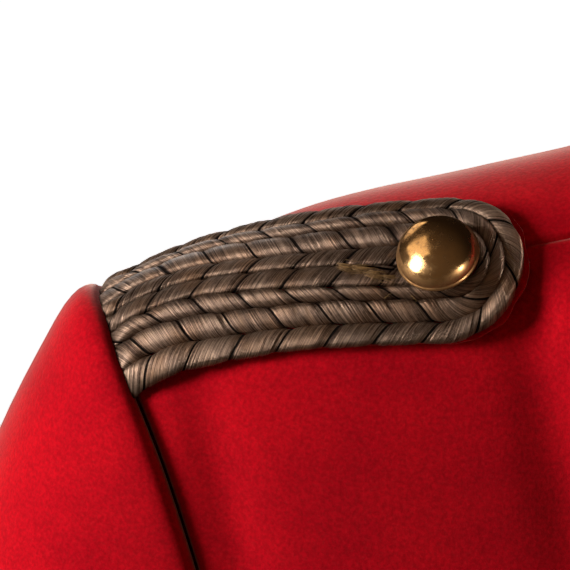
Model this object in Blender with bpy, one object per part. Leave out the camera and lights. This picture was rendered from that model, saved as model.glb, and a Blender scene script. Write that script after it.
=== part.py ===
"""Military dress tunic, filled out as worn: scarlet wool body, two-piece sleeves, stand collar, front
buttons, and a corded board with a domed button on each shoulder.

Metres, +Z up. The front faces -Y and +X is the wearer's left. The origin is the centre of the neck's base.
"""

from math import cos, pi, radians, sin

import bmesh
import bpy
import numpy as np

# The two sides of the tunic, as factors on a point of the wearer's left side
LEFT = np.array([1, 1, 1])
RIGHT = np.array([-1, 1, 1])

# Cloth
WALL = 0.002
COLLAR_WALL = 0.003
SEAM_INSET = 0.0002
CLEARANCE = 0.0003

# Body sections: height, half width, depth in front of the side seams and behind them
BODY_SECTIONS = (
    # z,     half,  front,  back
    (-0.700, 0.205, 0.145, 0.135),
    (-0.580, 0.195, 0.132, 0.130),
    (-0.400, 0.155, 0.118, 0.095),
    (-0.300, 0.170, 0.130, 0.108),
    (-0.220, 0.185, 0.138, 0.118),
    (-0.200, 0.190, 0.135, 0.118),
    (-0.120, 0.215, 0.104, 0.111),
    (-0.075, 0.240, 0.088, 0.099),
    (-0.030, 0.257, 0.0913, 0.0913),
    (0.080, 0.257, 0.0913, 0.0913),
)
SECTION_POWER = 2.2
SMOOTH_ANGLE = 40

# Height of the shoulder ridge by distance from the middle
RIDGE = (
    # x,    z
    (0.000, 0.0600),
    (0.030, 0.0450),
    (0.055, 0.0180),
    (0.075, 0.0000),
    (0.110, -0.0102),
    (0.150, -0.0200),
    (0.184, -0.0345),
    (0.205, -0.0455),
    (0.212, -0.0500),
    (0.226, -0.0610),
)
UNDERARM_Z = -0.200
HEM_Z = -0.700
RISE_PER_RADIAN = 0.165

# Seams, as the turn about the shoulder in degrees (0 front underarm, 90 ridge, 180 back underarm)
SHOULDER_SEAM = 76.0
ARMHOLE = (
    # turn, x
    (0, 0.1900),
    (3, 0.1820),
    (8, 0.1750),
    (15, 0.1725),
    (25, 0.1765),
    (35, 0.1835),
    (45, 0.1900),
    (56, 0.1965),
    (64, 0.2010),
    (73, 0.2053),
    (82, 0.2080),
    (94, 0.2103),
    (106, 0.2103),
    (118, 0.2065),
    (130, 0.2000),
    (145, 0.1910),
    (158, 0.1845),
    (168, 0.1815),
    (176, 0.1840),
    (180, 0.1900),
)
FRONT_NECK = (
    # x,    turn
    (0.000, 31.3),
    (0.015, 32.2),
    (0.030, 35.5),
    (0.045, 42.5),
    (0.056, 52.0),
    (0.064, 64.0),
    (0.068, 76.0),
)
BACK_NECK = (
    # x,    turn
    (0.068, 76.0),
    (0.0675, 89.0),
    (0.062, 101.5),
    (0.050, 112.0),
    (0.030, 121.5),
    (0.000, 126.1),
)
LEFT_FRONT_EDGE = -0.022
RIGHT_FRONT_EDGE = -0.020
FLY_WIDTH = 0.0455
FLY_LIFT = WALL + 2 * CLEARANCE
FLY_AT_NECK = (1.0, 1.0, 1.0, 0.6, 0.3, 0.1, 0.0)
LAP_DROP = radians(1)

# Panel grids
SKIRT_ROWS = 12
ARMHOLE_ROWS = 12
FRONT_EDGE_ROWS = 6
FRONT_NECK_SEGMENTS = 5
BACK_NECK_SEGMENTS = 6
PANEL_COLUMNS = 10

# Sleeves, from the cuff to the upper arm
SLEEVE_SECTIONS = (
    # z,     centre x, centre y, half width, half depth
    (-0.645, 0.3000, -0.0300, 0.0400, 0.0470),
    (-0.550, 0.2860, -0.0120, 0.0415, 0.0500),
    (-0.460, 0.2720, 0.0020, 0.0430, 0.0560),
    (-0.380, 0.2590, 0.0080, 0.0440, 0.0620),
    (-0.300, 0.2460, 0.0060, 0.0440, 0.0670),
    (-0.235, 0.2345, 0.0020, 0.0430, 0.0690),
)
SLEEVE_TILT = radians(8.5)
SLEEVE_START_RISE = radians(20)
SLEEVE_CAP_REACH = (0.010, 0.018)
SLEEVE_HANG_REACH = (0.030, 0.090)
SLEEVE_CAP_RINGS = 9
SLEEVE_HANG_RINGS = 10
FRONT_SLEEVE_SEAM = 8
BACK_SLEEVE_SEAM = 17

# Collar
COLLAR_HEIGHT = 0.045
COLLAR_LEAN = 0.13
COLLAR_FRONT_GAP = 0.0015
COLLAR_ROWS = 3

# Shoulder boards. A board has its own coordinates: along to the sleeve and across to the front from the
# button, and lift above the cloth. At the armhole seam the cords are pressed flatter.
BOARD_X = 0.122
BOARD_TURN = 74.5
BOARD_SKEW = radians(3.5)
BOARD_SWING = 0.003
BOARD_SWING_START = 0.064
BOARD_SWING_LENGTH = 0.020
BOARD_SWING_LIMIT = 1.25
CORD_PITCH = 0.0051
CORD_COUNT = 4
CORD_HALF_WIDTH = 0.5 * (CORD_PITCH - CLEARANCE)
CORD_HALF_HEIGHT = 0.0018
CORD_END_HALF_HEIGHT = 0.0011
CORD_SIDES = 8
BOARD_STATIONS = np.array([0.012, 0.024, 0.035, 0.045, 0.054, 0.062, 0.069, 0.076, 0.083])
CORD_TURN_SEGMENTS = 12
UNDERLAY_EDGE = 0.001
UNDERLAY_THICKNESS = 0.0008
UNDERLAY_GAP = 0.0008
UNDERLAY_TOP = UNDERLAY_GAP + UNDERLAY_THICKNESS
CORD_GAP = 0.0004
CORD_FOOT = UNDERLAY_TOP + CORD_GAP
UNDERLAY_COLUMNS = 14
UNDERLAY_END_ROWS = 4
BOARD_LONGEST = 0.120
WALK_STEPS = 12
END_HALVINGS = 16

# Buttons
BUTTON_LIFT = CORD_FOOT + 2 * CORD_HALF_HEIGHT + CLEARANCE
BUTTON_PROFILE = (
    # radius, height
    (0.0030, 0.0000),
    (0.0030, 0.0012),
    (0.0096, 0.0015),
    (0.0106, 0.0024),
    (0.0104, 0.0042),
    (0.0090, 0.0066),
    (0.0063, 0.0086),
    (0.0030, 0.0097),
    (0.0008, 0.0100),
)
BUTTON_SIDES = 14
FRONT_BUTTON_COUNT = 8
FRONT_BUTTON_TOP_Z = -0.095
FRONT_BUTTON_BOTTOM_Z = -0.435


def smooth_table(rows, column=1):
    """A function that runs smoothly through one column of a table by its first column, with no overshoot."""
    knots = np.array([row[0] for row in rows], float)
    values = np.array([row[column] for row in rows], float)
    steps = np.diff(knots)
    slopes = np.diff(values) / steps
    before, after = slopes[:-1], slopes[1:]
    same_way = before * after > 0
    total = np.where(same_way, before + after, 1)
    tangents = np.empty(len(knots))
    tangents[0], tangents[-1] = slopes[0], slopes[-1]
    tangents[1:-1] = np.where(same_way, 2 * before * after / total, 0)

    def at(place):
        place = np.clip(place, knots[0], knots[-1])
        i = np.clip(np.searchsorted(knots, place, side="right") - 1, 0, len(steps) - 1)
        t = (place - knots[i]) / steps[i]
        start = (1 + 2 * t) * (1 - t) ** 2 * values[i] + t * (1 - t) ** 2 * steps[i] * tangents[i]
        end = t * t * (3 - 2 * t) * values[i + 1] - t * t * (1 - t) * steps[i] * tangents[i + 1]
        return start + end

    return at


body_half = smooth_table(BODY_SECTIONS, 1)
body_front = smooth_table(BODY_SECTIONS, 2)
body_back = smooth_table(BODY_SECTIONS, 3)
ridge_z = smooth_table(RIDGE)
armhole_x = smooth_table([(radians(turn), x) for turn, x in ARMHOLE])


def unit(vectors):
    return vectors / np.linalg.norm(vectors, axis=-1, keepdims=True)


def form_point(x, turn):
    """Point on the tunic's outer form. The turn goes up the front, over the ridge and down the back."""
    x, turn = np.broadcast_arrays(np.asarray(x, float), np.asarray(turn, float))
    in_front = turn < pi / 2
    fold = np.where(in_front, turn, pi - turn)
    rise = np.where(fold < 0, fold * RISE_PER_RADIAN, (ridge_z(abs(x)) - UNDERARM_Z) * np.sin(fold))
    z = UNDERARM_Z + rise
    depth = np.where(in_front, -body_front(z), body_back(z)) * np.where(fold < 0, 1, np.cos(fold))
    share = np.clip(abs(x) / body_half(z), 0, 1)
    return np.stack([x, depth * (1 - share**SECTION_POWER) ** (1 / SECTION_POWER), z], -1)


def form_slopes(x, turn, step=1e-5):
    along_x = form_point(x + step, turn) - form_point(x - step, turn)
    along_turn = form_point(x, turn + step) - form_point(x, turn - step)
    return along_x / (2 * step), along_turn / (2 * step)


def form_normal(x, turn):
    """Outward normal of the form. At a side seam it points straight out sideways."""
    x, turn = np.broadcast_arrays(np.asarray(x, float), np.asarray(turn, float))
    along_x, along_turn = form_slopes(np.sign(x) * np.minimum(abs(x), 0.9999 * widest(turn, x)), turn)
    return unit(np.cross(along_x, along_turn))


def widest(turn, x):
    fold = np.where(turn < pi / 2, turn, pi - turn)
    rise = np.where(fold < 0, fold * RISE_PER_RADIAN, (ridge_z(abs(x)) - UNDERARM_Z) * np.sin(fold))
    return body_half(UNDERARM_Z + rise)


def turn_at(z):
    """The turn of a height below the underarm, on the front."""
    return (z - UNDERARM_Z) / RISE_PER_RADIAN


def resample(x, turn, segments):
    """The (x, turn) pairs that part a path on the form into segments of one length."""
    points = form_point(x, turn)
    run = np.concatenate([[0], np.cumsum(np.linalg.norm(np.diff(points, axis=0), axis=1))])
    places = np.linspace(0, run[-1], segments + 1)
    return np.interp(places, run, x), np.interp(places, run, turn)


def armhole_path(start_turn, end_turn, segments):
    turn = np.linspace(radians(start_turn), radians(end_turn), 400)
    return resample(armhole_x(turn), turn, segments)


def neck_path(rows, segments):
    """The neckline from the middle to the side, or from the side to the middle."""
    across = smooth_table([(i, row[0]) for i, row in enumerate(rows)])
    turning = smooth_table([(i, radians(row[1])) for i, row in enumerate(rows)])
    places = np.linspace(0, len(rows) - 1, 200)
    return resample(across(places), turning(places), segments)


def make_material(name, colour, roughness, metallic=0.0):
    material = bpy.data.materials.new(name)
    material.use_nodes = True
    shader = material.node_tree.nodes["Principled BSDF"]
    shader.inputs["Base Color"].default_value = (*colour, 1)
    shader.inputs["Roughness"].default_value = roughness
    shader.inputs["Metallic"].default_value = metallic
    material.diffuse_color = (*colour, 1)
    return material


def add_object(name, points, faces, material):
    """A closed body with its faces turned outwards and its round parts shaded smooth."""
    mesh = bpy.data.meshes.new(name)
    mesh.from_pydata([tuple(point) for point in points], [], faces)
    shape = bmesh.new()
    shape.from_mesh(mesh)
    bmesh.ops.recalc_face_normals(shape, faces=shape.faces)
    shape.to_mesh(mesh)
    shape.free()
    mesh.materials.append(material)
    mesh.shade_smooth()
    mesh.set_sharp_from_angle(angle=radians(SMOOTH_ANGLE))
    thing = bpy.data.objects.new(name, mesh)
    bpy.context.scene.collection.objects.link(thing)
    return thing


def draw_in(grid, amount):
    """Moves the grid's four edges inwards, which leaves a seam's gap to the next piece."""
    grid = grid.copy()
    for _ in range(2):
        grid[0] += unit(grid[1] - grid[0]) * amount
        grid[-1] += unit(grid[-2] - grid[-1]) * amount
        grid = grid.transpose(1, 0, 2)
    return grid


def add_wall(name, outer, inner, material):
    """A sheet of cloth between two grids of points."""
    rows, columns = outer.shape[:2]
    count = rows * columns
    faces = []

    def vertex(row, column):
        return row * columns + column

    for row in range(rows - 1):
        for column in range(columns - 1):
            corners = [
                vertex(row, column),
                vertex(row, column + 1),
                vertex(row + 1, column + 1),
                vertex(row + 1, column),
            ]
            faces.append(corners)
            faces.append([count + corner for corner in reversed(corners)])
    rim = [vertex(0, column) for column in range(columns)]
    rim += [vertex(row, columns - 1) for row in range(1, rows)]
    rim += [vertex(rows - 1, column) for column in range(columns - 2, -1, -1)]
    rim += [vertex(row, 0) for row in range(rows - 2, 0, -1)]
    for start, end in zip(rim, rim[1:] + rim[:1]):
        faces.append([end, start, count + start, count + end])
    points = np.concatenate([outer.reshape(-1, 3), inner.reshape(-1, 3)])
    return add_object(name, points, faces, material)


def column_shares(width, fly):
    """Where a panel's columns lie across it: closer together towards the side, where the form turns fastest.

    The first column of a front is as wide as its lap, as far as fly is 1. At the shoulder seam fly is 0.
    """
    plain = np.sin(np.linspace(0, pi / 2, PANEL_COLUMNS + 1))
    start = FLY_WIDTH / width
    rest = start + (1 - start) * np.sin(np.linspace(0, pi / 2, PANEL_COLUMNS))
    return plain + (np.append(0, rest) - plain) * fly


def panel_paths(edge_x, back):
    """The panel's middle edge and its side edge, as (x, turn) pairs from the hem to the shoulder seam."""
    heights = np.linspace(HEM_Z, UNDERARM_Z, SKIRT_ROWS + 1)[:-1]
    skirt_turn = turn_at(heights)
    skirt_side = body_half(heights)
    if back:
        skirt_turn = pi - skirt_turn
        neck_x, neck_turn = (path[::-1] for path in neck_path(BACK_NECK, BACK_NECK_SEGMENTS))
        hole_x, hole_turn = armhole_path(SHOULDER_SEAM, 180, ARMHOLE_ROWS)
        hole_x, hole_turn = hole_x[::-1], hole_turn[::-1]
    else:
        neck_x, neck_turn = neck_path(FRONT_NECK, FRONT_NECK_SEGMENTS)
        neck_x, neck_turn = np.append(edge_x, neck_x), np.append(neck_turn[0], neck_turn)
        hole_x, hole_turn = armhole_path(0, SHOULDER_SEAM, ARMHOLE_ROWS)
        neck_turn[0] -= LAP_DROP
    edge_turn = np.linspace(pi if back else 0, neck_turn[0], FRONT_EDGE_ROWS + 1)[:-1]
    middle_x = np.concatenate([np.full(SKIRT_ROWS + FRONT_EDGE_ROWS, edge_x), neck_x])
    middle_turn = np.concatenate([skirt_turn, edge_turn, neck_turn])
    side_x = np.concatenate([skirt_side, hole_x])
    side_turn = np.concatenate([skirt_turn, hole_turn])
    return middle_x, middle_turn, side_x, side_turn


def panel_grid(edge_x, back=False, lift=0.0):
    """Outer points and normals of a panel on the +X side, middle edge first. A lap is level across."""
    middle_x, middle_turn, side_x, side_turn = panel_paths(edge_x, back)
    points, normals = [], []
    for row in range(len(middle_x)):
        past_neck = max(row - SKIRT_ROWS - FRONT_EDGE_ROWS, 0)
        shares = rises = column_shares(side_x[row] - middle_x[row], 0 if back else FLY_AT_NECK[past_neck])
        if not back and not past_neck:
            rises = np.maximum(shares - shares[1], 0) / (1 - shares[1])
        x = middle_x[row] + (side_x[row] - middle_x[row]) * shares
        turn = middle_turn[row] + (side_turn[row] - middle_turn[row]) * rises
        normal = form_normal(x, turn)
        point = form_point(x, turn)
        point[:2] += normal[:2] * lift * FLY_AT_NECK[past_neck]
        points.append(point)
        normals.append(normal)
    return np.array(points), np.array(normals)


def add_panel(name, grid, normals, side, material):
    outer = draw_in(grid, SEAM_INSET)
    return add_wall(name, outer * side, (outer - normals * WALL) * side, material)


def sleeve_grid():
    """Outer points of the left sleeve: rings from the armhole to the cuff.

    Each ring starts at the shoulder seam and goes down the front.
    """
    front_x, front_turn = armhole_path(0, SHOULDER_SEAM, ARMHOLE_ROWS)
    back_x, back_turn = armhole_path(SHOULDER_SEAM, 180, ARMHOLE_ROWS)
    hole_x = np.concatenate([front_x[::-1], back_x[::-1][1:-1]])
    hole_turn = np.concatenate([front_turn[::-1], back_turn[::-1][1:-1]])
    start_way = np.array([cos(SLEEVE_START_RISE), 0, sin(SLEEVE_START_RISE)])
    start = form_point(hole_x, hole_turn) + start_way * 3 * SEAM_INSET
    around = -2 * pi * np.arange(len(start)) / len(start)
    top = 0.5 + 0.5 * np.cos(around)
    rings = [start]
    hang = [sleeve_ring(z, around) for z in sleeve_heights()]
    hang_way = unit(hang[1].mean(axis=0) - hang[0].mean(axis=0))
    leave = (SLEEVE_CAP_REACH[0] + (SLEEVE_CAP_REACH[1] - SLEEVE_CAP_REACH[0]) * top)[:, None] * start_way
    arrive = (SLEEVE_HANG_REACH[0] + (SLEEVE_HANG_REACH[1] - SLEEVE_HANG_REACH[0]) * top)[:, None] * hang_way
    for t in np.linspace(0, 1, SLEEVE_CAP_RINGS + 1)[1:-1]:
        leaving = (1 + 2 * t) * (1 - t) ** 2 * start + 3 * t * (1 - t) ** 2 * leave
        arriving = t * t * (3 - 2 * t) * hang[0] - 3 * t * t * (1 - t) * arrive
        rings.append(leaving + arriving)
    return np.array(rings + hang)


def sleeve_heights():
    """Heights of the rings that hang straight, from the upper arm to the cuff."""
    return np.linspace(SLEEVE_SECTIONS[-1][0], SLEEVE_SECTIONS[0][0], SLEEVE_HANG_RINGS + 1)


def sleeve_ring(z, around):
    centre_x, centre_y, half_width, half_depth = (smooth_table(SLEEVE_SECTIONS, i)(z) for i in (1, 2, 3, 4))
    out = half_width * np.cos(around)
    x = centre_x + out * cos(SLEEVE_TILT)
    y = centre_y + half_depth * np.sin(around)
    return np.stack([x, y, z + out * sin(SLEEVE_TILT)], -1)


def tube_normals(rings):
    """Outward normals of a tube's grid of rings."""
    along = np.gradient(rings, axis=0)
    around = np.roll(rings, -1, axis=1) - np.roll(rings, 1, axis=1)
    normals = unit(np.cross(around, along))
    outwards = rings - rings.mean(axis=1, keepdims=True)
    return normals * np.sign((normals * outwards).sum(axis=(1, 2)))[:, None, None]


def add_sleeve(side_name, side, material):
    rings = sleeve_grid()
    normals = tube_normals(rings)
    ring_size = rings.shape[1]
    upper = np.arange(BACK_SLEEVE_SEAM, ring_size + FRONT_SLEEVE_SEAM + 1) % ring_size
    under = np.arange(FRONT_SLEEVE_SEAM, BACK_SLEEVE_SEAM + 1)
    for kind, columns in (("upper_sleeve", upper), ("under_sleeve", under)):
        outer = draw_in(rings[:, columns], SEAM_INSET)
        inner = outer - normals[:, columns] * WALL
        add_wall(f"{kind}_{side_name}", outer * side, inner * side, material)


def neck_edge(front, back):
    """The panels' own points along the neckline, from the middle of the front to the middle of the back."""
    neck_start = SKIRT_ROWS + FRONT_EDGE_ROWS
    edge = np.concatenate([front[neck_start + 1 :, 0], back[neck_start:-1, 0][::-1]])
    edge[0, 0] += COLLAR_FRONT_GAP
    return edge


def add_collar(left_front, right_front, back, material):
    left = neck_edge(left_front, back)
    right = neck_edge(right_front, back)[:-1][::-1] * RIGHT
    seam = np.concatenate([left, right])[::-1]
    middle = np.array([0, 0.5 * (seam[:, 1].min() + seam[:, 1].max()), 0])
    inwards = unit((middle - seam) * np.array([1, 1, 0]))
    upwards = unit(np.array([0, 0, 1]) + COLLAR_LEAN * inwards)
    sideways = unit(np.gradient(seam, axis=0) * np.array([1, 1, 0]))
    outwards = unit(np.cross(sideways, upwards))
    heights = np.linspace(1.5 * SEAM_INSET + CLEARANCE, COLLAR_HEIGHT, COLLAR_ROWS + 1)
    outer = np.array([seam + upwards * height for height in heights])
    outer += 0.5 * (COLLAR_WALL - WALL) * outwards
    return add_wall("collar", outer, outer - outwards * COLLAR_WALL, material)


def walk(x, turn, way, length):
    """Goes straight on over the form, as a flat board bends, and gives the place and the way at the end."""
    for _ in range(WALK_STEPS):
        along_x, along_turn = form_slopes(x, turn)
        normal = unit(np.cross(along_x, along_turn))
        way = unit(way - normal * (way * normal).sum(-1, keepdims=True))
        xx = (along_x * along_x).sum(-1)
        xt = (along_x * along_turn).sum(-1)
        tt = (along_turn * along_turn).sum(-1)
        wx = (way * along_x).sum(-1)
        wt = (way * along_turn).sum(-1)
        step = length / WALK_STEPS / (xx * tt - xt * xt)
        x = x + (wx * tt - wt * xt) * step
        turn = turn + (wt * xx - wx * xt) * step
    return x, turn, way


def board_place(along, across):
    """(x, turn) on the left shoulder of a place on the board.

    The board swings to the front where the shoulder drops.
    """
    along, across = np.broadcast_arrays(np.asarray(along, float), np.asarray(across, float))
    past_start = (along - BOARD_SWING_START) / BOARD_SWING_LENGTH
    across = across + BOARD_SWING * np.clip(past_start, 0, BOARD_SWING_LIMIT) ** 2
    way = np.broadcast_to(np.array([cos(BOARD_SKEW), sin(BOARD_SKEW), 0]), along.shape + (3,))
    x, turn, way = walk(np.full(along.shape, BOARD_X), np.full(along.shape, radians(BOARD_TURN)), way, along)
    to_front = np.cross(way, form_normal(x, turn))
    x, turn, _ = walk(x, turn, to_front * -np.sign(to_front[..., 1:2]), across)
    return x, turn


def board_point(along, across, lift):
    x, turn = board_place(along, across)
    lift = np.broadcast_to(lift, x.shape)[..., None]
    return form_point(x, turn) + form_normal(x, turn) * lift


def board_end(across):
    """How far along the board the armhole seam cuts it."""
    across = np.asarray(across, float)
    near, far = np.zeros(across.shape), np.full(across.shape, BOARD_LONGEST)
    for _ in range(END_HALVINGS):
        middle = 0.5 * (near + far)
        x, turn = board_place(middle, across)
        inside = x < armhole_x(turn) - CLEARANCE
        near = np.where(inside, middle, near)
        far = np.where(inside, far, middle)
    return near


def leg_stations(across):
    """Places along the board's legs, from the button to the armhole seam: one column for each place across.

    All the board's layers share them, so that they bend at the same places and stay clear of each other.
    """
    end = board_end(across)
    stations = np.broadcast_to(BOARD_STATIONS[:, None], (len(BOARD_STATIONS), len(end)))
    return np.concatenate([stations, end[None]])


def cord_route(radius):
    """A cord's middle line in board coordinates: along one leg, round the button's end and back.

    With it comes its heading at each station, as an angle from the way to the button.
    """
    legs = leg_stations([-radius, radius])
    heading = np.linspace(0, pi, CORD_TURN_SEGMENTS + 1)
    along = np.concatenate([legs[::-1, 0], -radius * np.sin(heading), legs[:, 1]])
    leg = np.full(len(legs), radius)
    across = np.concatenate([-leg, -radius * np.cos(heading), leg])
    return along, across, np.pad(heading, len(legs), mode="edge")


def add_cord(number, side_name, side, material):
    along, across, heading = (line[:, None] for line in cord_route(CORD_PITCH * (number - 0.5)))
    around = 2 * pi * (np.arange(CORD_SIDES) + 0.5) / CORD_SIDES
    out = CORD_HALF_WIDTH * np.cos(around) / cos(pi / CORD_SIDES)
    half_height = np.where(along > BOARD_STATIONS[-1], CORD_END_HALF_HEIGHT, CORD_HALF_HEIGHT)
    lift = CORD_FOOT + half_height * (1 + np.sin(around) / cos(pi / CORD_SIDES))
    rings = board_point(along + np.sin(heading) * out, across + np.cos(heading) * out, lift)
    return add_tube(f"board_cord_{number}_{side_name}", rings * side, material)


def add_tube(name, rings, material):
    """A solid between rings of points, closed by a flat cap at each end."""
    count, sides = rings.shape[:2]
    faces = [list(range(sides)), [(count - 1) * sides + i for i in range(sides)]]
    for start in range(0, (count - 1) * sides, sides):
        for i in range(sides):
            after = (i + 1) % sides
            faces.append([start + i, start + after, start + sides + after, start + sides + i])
    return add_object(name, rings.reshape(-1, 3), faces, material)


def add_underlay(side_name, side, material):
    half = CORD_COUNT * CORD_PITCH + UNDERLAY_EDGE
    across = half * np.sin(np.linspace(-pi / 2, pi / 2, UNDERLAY_COLUMNS + 1))
    start = -np.sqrt(np.maximum(half**2 - across**2, 0))
    round_end = start * np.linspace(1, 0, UNDERLAY_END_ROWS + 1)[:, None]
    along = np.concatenate([round_end, leg_stations(across)])
    outer = board_point(along, across, UNDERLAY_TOP)
    inner = board_point(along, across, UNDERLAY_GAP)
    return add_wall(f"board_underlay_{side_name}", outer * side, inner * side, material)


def add_button(name, foot, axis, side, material):
    """A domed button on its shank, turned about its axis."""
    sideways = unit(np.cross(axis, [1, 0, 0]))
    other = np.cross(axis, sideways)
    around = 2 * pi * np.arange(BUTTON_SIDES) / BUTTON_SIDES
    circle = np.cos(around)[:, None] * sideways + np.sin(around)[:, None] * other
    rings = np.array([foot + axis * height + circle * radius for radius, height in BUTTON_PROFILE])
    return add_tube(name, rings * side, material)


def add_front_buttons(material):
    heights = np.linspace(FRONT_BUTTON_TOP_Z, FRONT_BUTTON_BOTTOM_Z, FRONT_BUTTON_COUNT)
    for number, z in enumerate(heights, 1):
        below = z < UNDERARM_Z
        turn = turn_at(z) if below else np.arcsin((z - UNDERARM_Z) / (ridge_z(0) - UNDERARM_Z))
        normal = form_normal(0.0, turn)
        foot = form_point(0.0, turn) + normal * (FLY_LIFT + CLEARANCE)
        add_button(f"front_button_{number}", foot, normal, np.ones(3), material)


def main():
    for thing in list(bpy.data.objects):
        bpy.data.objects.remove(thing)
    wool = make_material("scarlet_wool", (0.42, 0.012, 0.016), 0.85)
    underlay_wool = make_material("underlay_wool", (0.30, 0.005, 0.015), 0.85)
    metal_thread = make_material("metal_thread", (0.20, 0.13, 0.09), 0.45, 0.7)
    gilt = make_material("gilt_metal", (0.55, 0.32, 0.10), 0.25, 1.0)

    left_front = panel_grid(LEFT_FRONT_EDGE, lift=FLY_LIFT)
    right_front = panel_grid(RIGHT_FRONT_EDGE)
    back = panel_grid(0.0, back=True)
    add_collar(left_front[0], right_front[0], back[0], wool)
    add_front_buttons(gilt)
    for side_name, side, front in (("left", LEFT, left_front), ("right", RIGHT, right_front)):
        add_panel(f"front_{side_name}", *front, side, wool)
        add_panel(f"back_{side_name}", *back, side, wool)
        add_sleeve(side_name, side, wool)
        add_underlay(side_name, side, underlay_wool)
        for number in range(1, CORD_COUNT + 1):
            add_cord(number, side_name, side, metal_thread)
        foot = board_point(0.0, 0.0, BUTTON_LIFT)
        axis = form_normal(*board_place(0.0, 0.0))
        add_button(f"shoulder_button_{side_name}", foot, axis, side, gilt)


main()
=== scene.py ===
from math import cos, pi, radians, sin, sqrt

import bpy
import numpy as np
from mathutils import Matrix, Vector


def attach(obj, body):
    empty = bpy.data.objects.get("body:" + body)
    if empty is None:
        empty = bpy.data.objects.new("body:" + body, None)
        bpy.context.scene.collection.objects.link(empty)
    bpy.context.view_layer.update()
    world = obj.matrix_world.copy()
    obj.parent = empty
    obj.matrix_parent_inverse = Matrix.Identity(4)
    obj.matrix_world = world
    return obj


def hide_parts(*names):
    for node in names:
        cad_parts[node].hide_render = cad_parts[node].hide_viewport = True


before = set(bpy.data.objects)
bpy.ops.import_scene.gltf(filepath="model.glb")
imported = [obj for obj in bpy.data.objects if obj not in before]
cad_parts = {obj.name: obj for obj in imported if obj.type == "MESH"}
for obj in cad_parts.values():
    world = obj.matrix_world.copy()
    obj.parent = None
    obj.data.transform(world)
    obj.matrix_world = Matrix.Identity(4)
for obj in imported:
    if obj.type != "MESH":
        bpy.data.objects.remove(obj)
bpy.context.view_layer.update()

mm = 0.001
leftSide = np.array([1.0, 1.0, 1.0])
rightSide = np.array([-1.0, 1.0, 1.0])

# camera and light

view = {
    "aim": (-0.1625, -0.0316, -0.0188),
    "elevation": 34,
    "distance": 1.2,
    "lens": 298.4,
    "sensor": 36,
}
studio = {
    "target": (-0.125, -0.03, -0.02),
    # turn from the front to the wearer's right and rise in degrees, distance, width, height, watts, colour,
    # and the group of pieces that it lights
    "lights": (
        ("keySoftbox", 84, 14, 1.1, 0.36, 0.50, 15.0, "fff4ea", "clothAndCords"),
        ("glintSoftbox", 67, 19, 1.1, 0.32, 0.64, 34.0, "fffaf4", "giltWork"),
        ("sideSoftbox", -50, 4, 1.2, 0.12, 0.18, 6.0, "fff2e4", "giltWork"),
        ("glowPanel", 92, 42, 1.1, 0.80, 0.80, 2.6, "ffe8c8", "giltWork"),
        ("backPanel", 150, 14, 1.2, 0.50, 0.50, 1.2, "ffe8c8", "giltWork"),
        ("cordTopPanel", -140, 45, 1.2, 0.60, 0.60, 2.2, "fff0e4", "cords"),
        ("cordSidePanel", -78, 26, 1.2, 0.30, 0.30, 7.0, "fff0e4", "cords"),
        ("leftFrontPanel", -64, 22, 1.6, 0.80, 0.90, 9.0, "fff8f0", "leftHalf"),
        ("leftFillPanel", -112, 6, 1.5, 0.90, 0.90, 9.0, "ffffff", "clothAndCords"),
        ("backFillPanel", 168, 4, 1.5, 0.90, 0.90, 7.0, "ffffff", "clothAndCords"),
    ),
    "fillBright": "c9a98c",
    "fillDark": "4e3f36",
    "fillWay": (-0.55, -0.75, 0.20),
    "fillStrength": 0.19,
    "fillRange": (-0.6, 0.9),
    "floorZ": -0.7015,
    "floorSize": 16.0,
    # height above the floor and radius of the backdrop's rings
    "backdropRings": ((0, 15.0), (12, 15.0), (16, 3.0)),
    "backdropSides": 48,
    # how far out the paper turns fully white, and its own light there
    "whiteFrom": (0.40, 0.74),
    "paperGlow": (0.55, 1.0),
}

# groups of pieces that lamps light by themselves
litGroups = {}
for groupName in ("clothAndCords", "cords", "leftHalf", "giltWork"):
    litGroups[groupName] = bpy.data.collections.new(groupName)


def unit(vectors):
    return vectors / np.linalg.norm(vectors, axis=-1, keepdims=True)


def toLinear(hexColour, alpha=1.0):
    # sRGB hex to linear light
    parts = [int(hexColour[i : i + 2], 16) / 255 for i in (0, 2, 4)]
    return (*[p / 12.92 if p <= 0.04045 else ((p + 0.055) / 1.055) ** 2.4 for p in parts], alpha)


def addNode(tree, kind, settings=None, inputs=None):
    # one node with its settings; an input is a value, or another node's output to link
    node = tree.nodes.new("ShaderNode" + kind)
    for key, value in (settings or {}).items():
        setattr(node, key, value)
    for key, value in (inputs or {}).items():
        if isinstance(value, bpy.types.NodeSocket):
            tree.links.new(value, node.inputs[key])
        else:
            node.inputs[key].default_value = value
    return node


def newMaterial(name):
    material = bpy.data.materials.new(name)
    material.use_nodes = True
    material.node_tree.nodes.clear()
    return material, material.node_tree


def aimAt(thing, target):
    thing.rotation_mode = "QUATERNION"
    thing.rotation_quaternion = (Vector(target) - thing.location).to_track_quat("-Z", "Y")


def addCamera():
    data = bpy.data.cameras.new("camera")
    data.lens = view["lens"]
    data.sensor_width = view["sensor"]
    data.clip_start, data.clip_end = 0.05, 30
    camera = bpy.data.objects.new("camera", data)
    bpy.context.scene.collection.objects.link(camera)
    tilt = radians(view["elevation"])
    back = Vector((0, -cos(tilt), sin(tilt)))
    camera.location = Vector(view["aim"]) + back * view["distance"]
    aimAt(camera, view["aim"])
    bpy.context.scene.camera = camera


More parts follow.
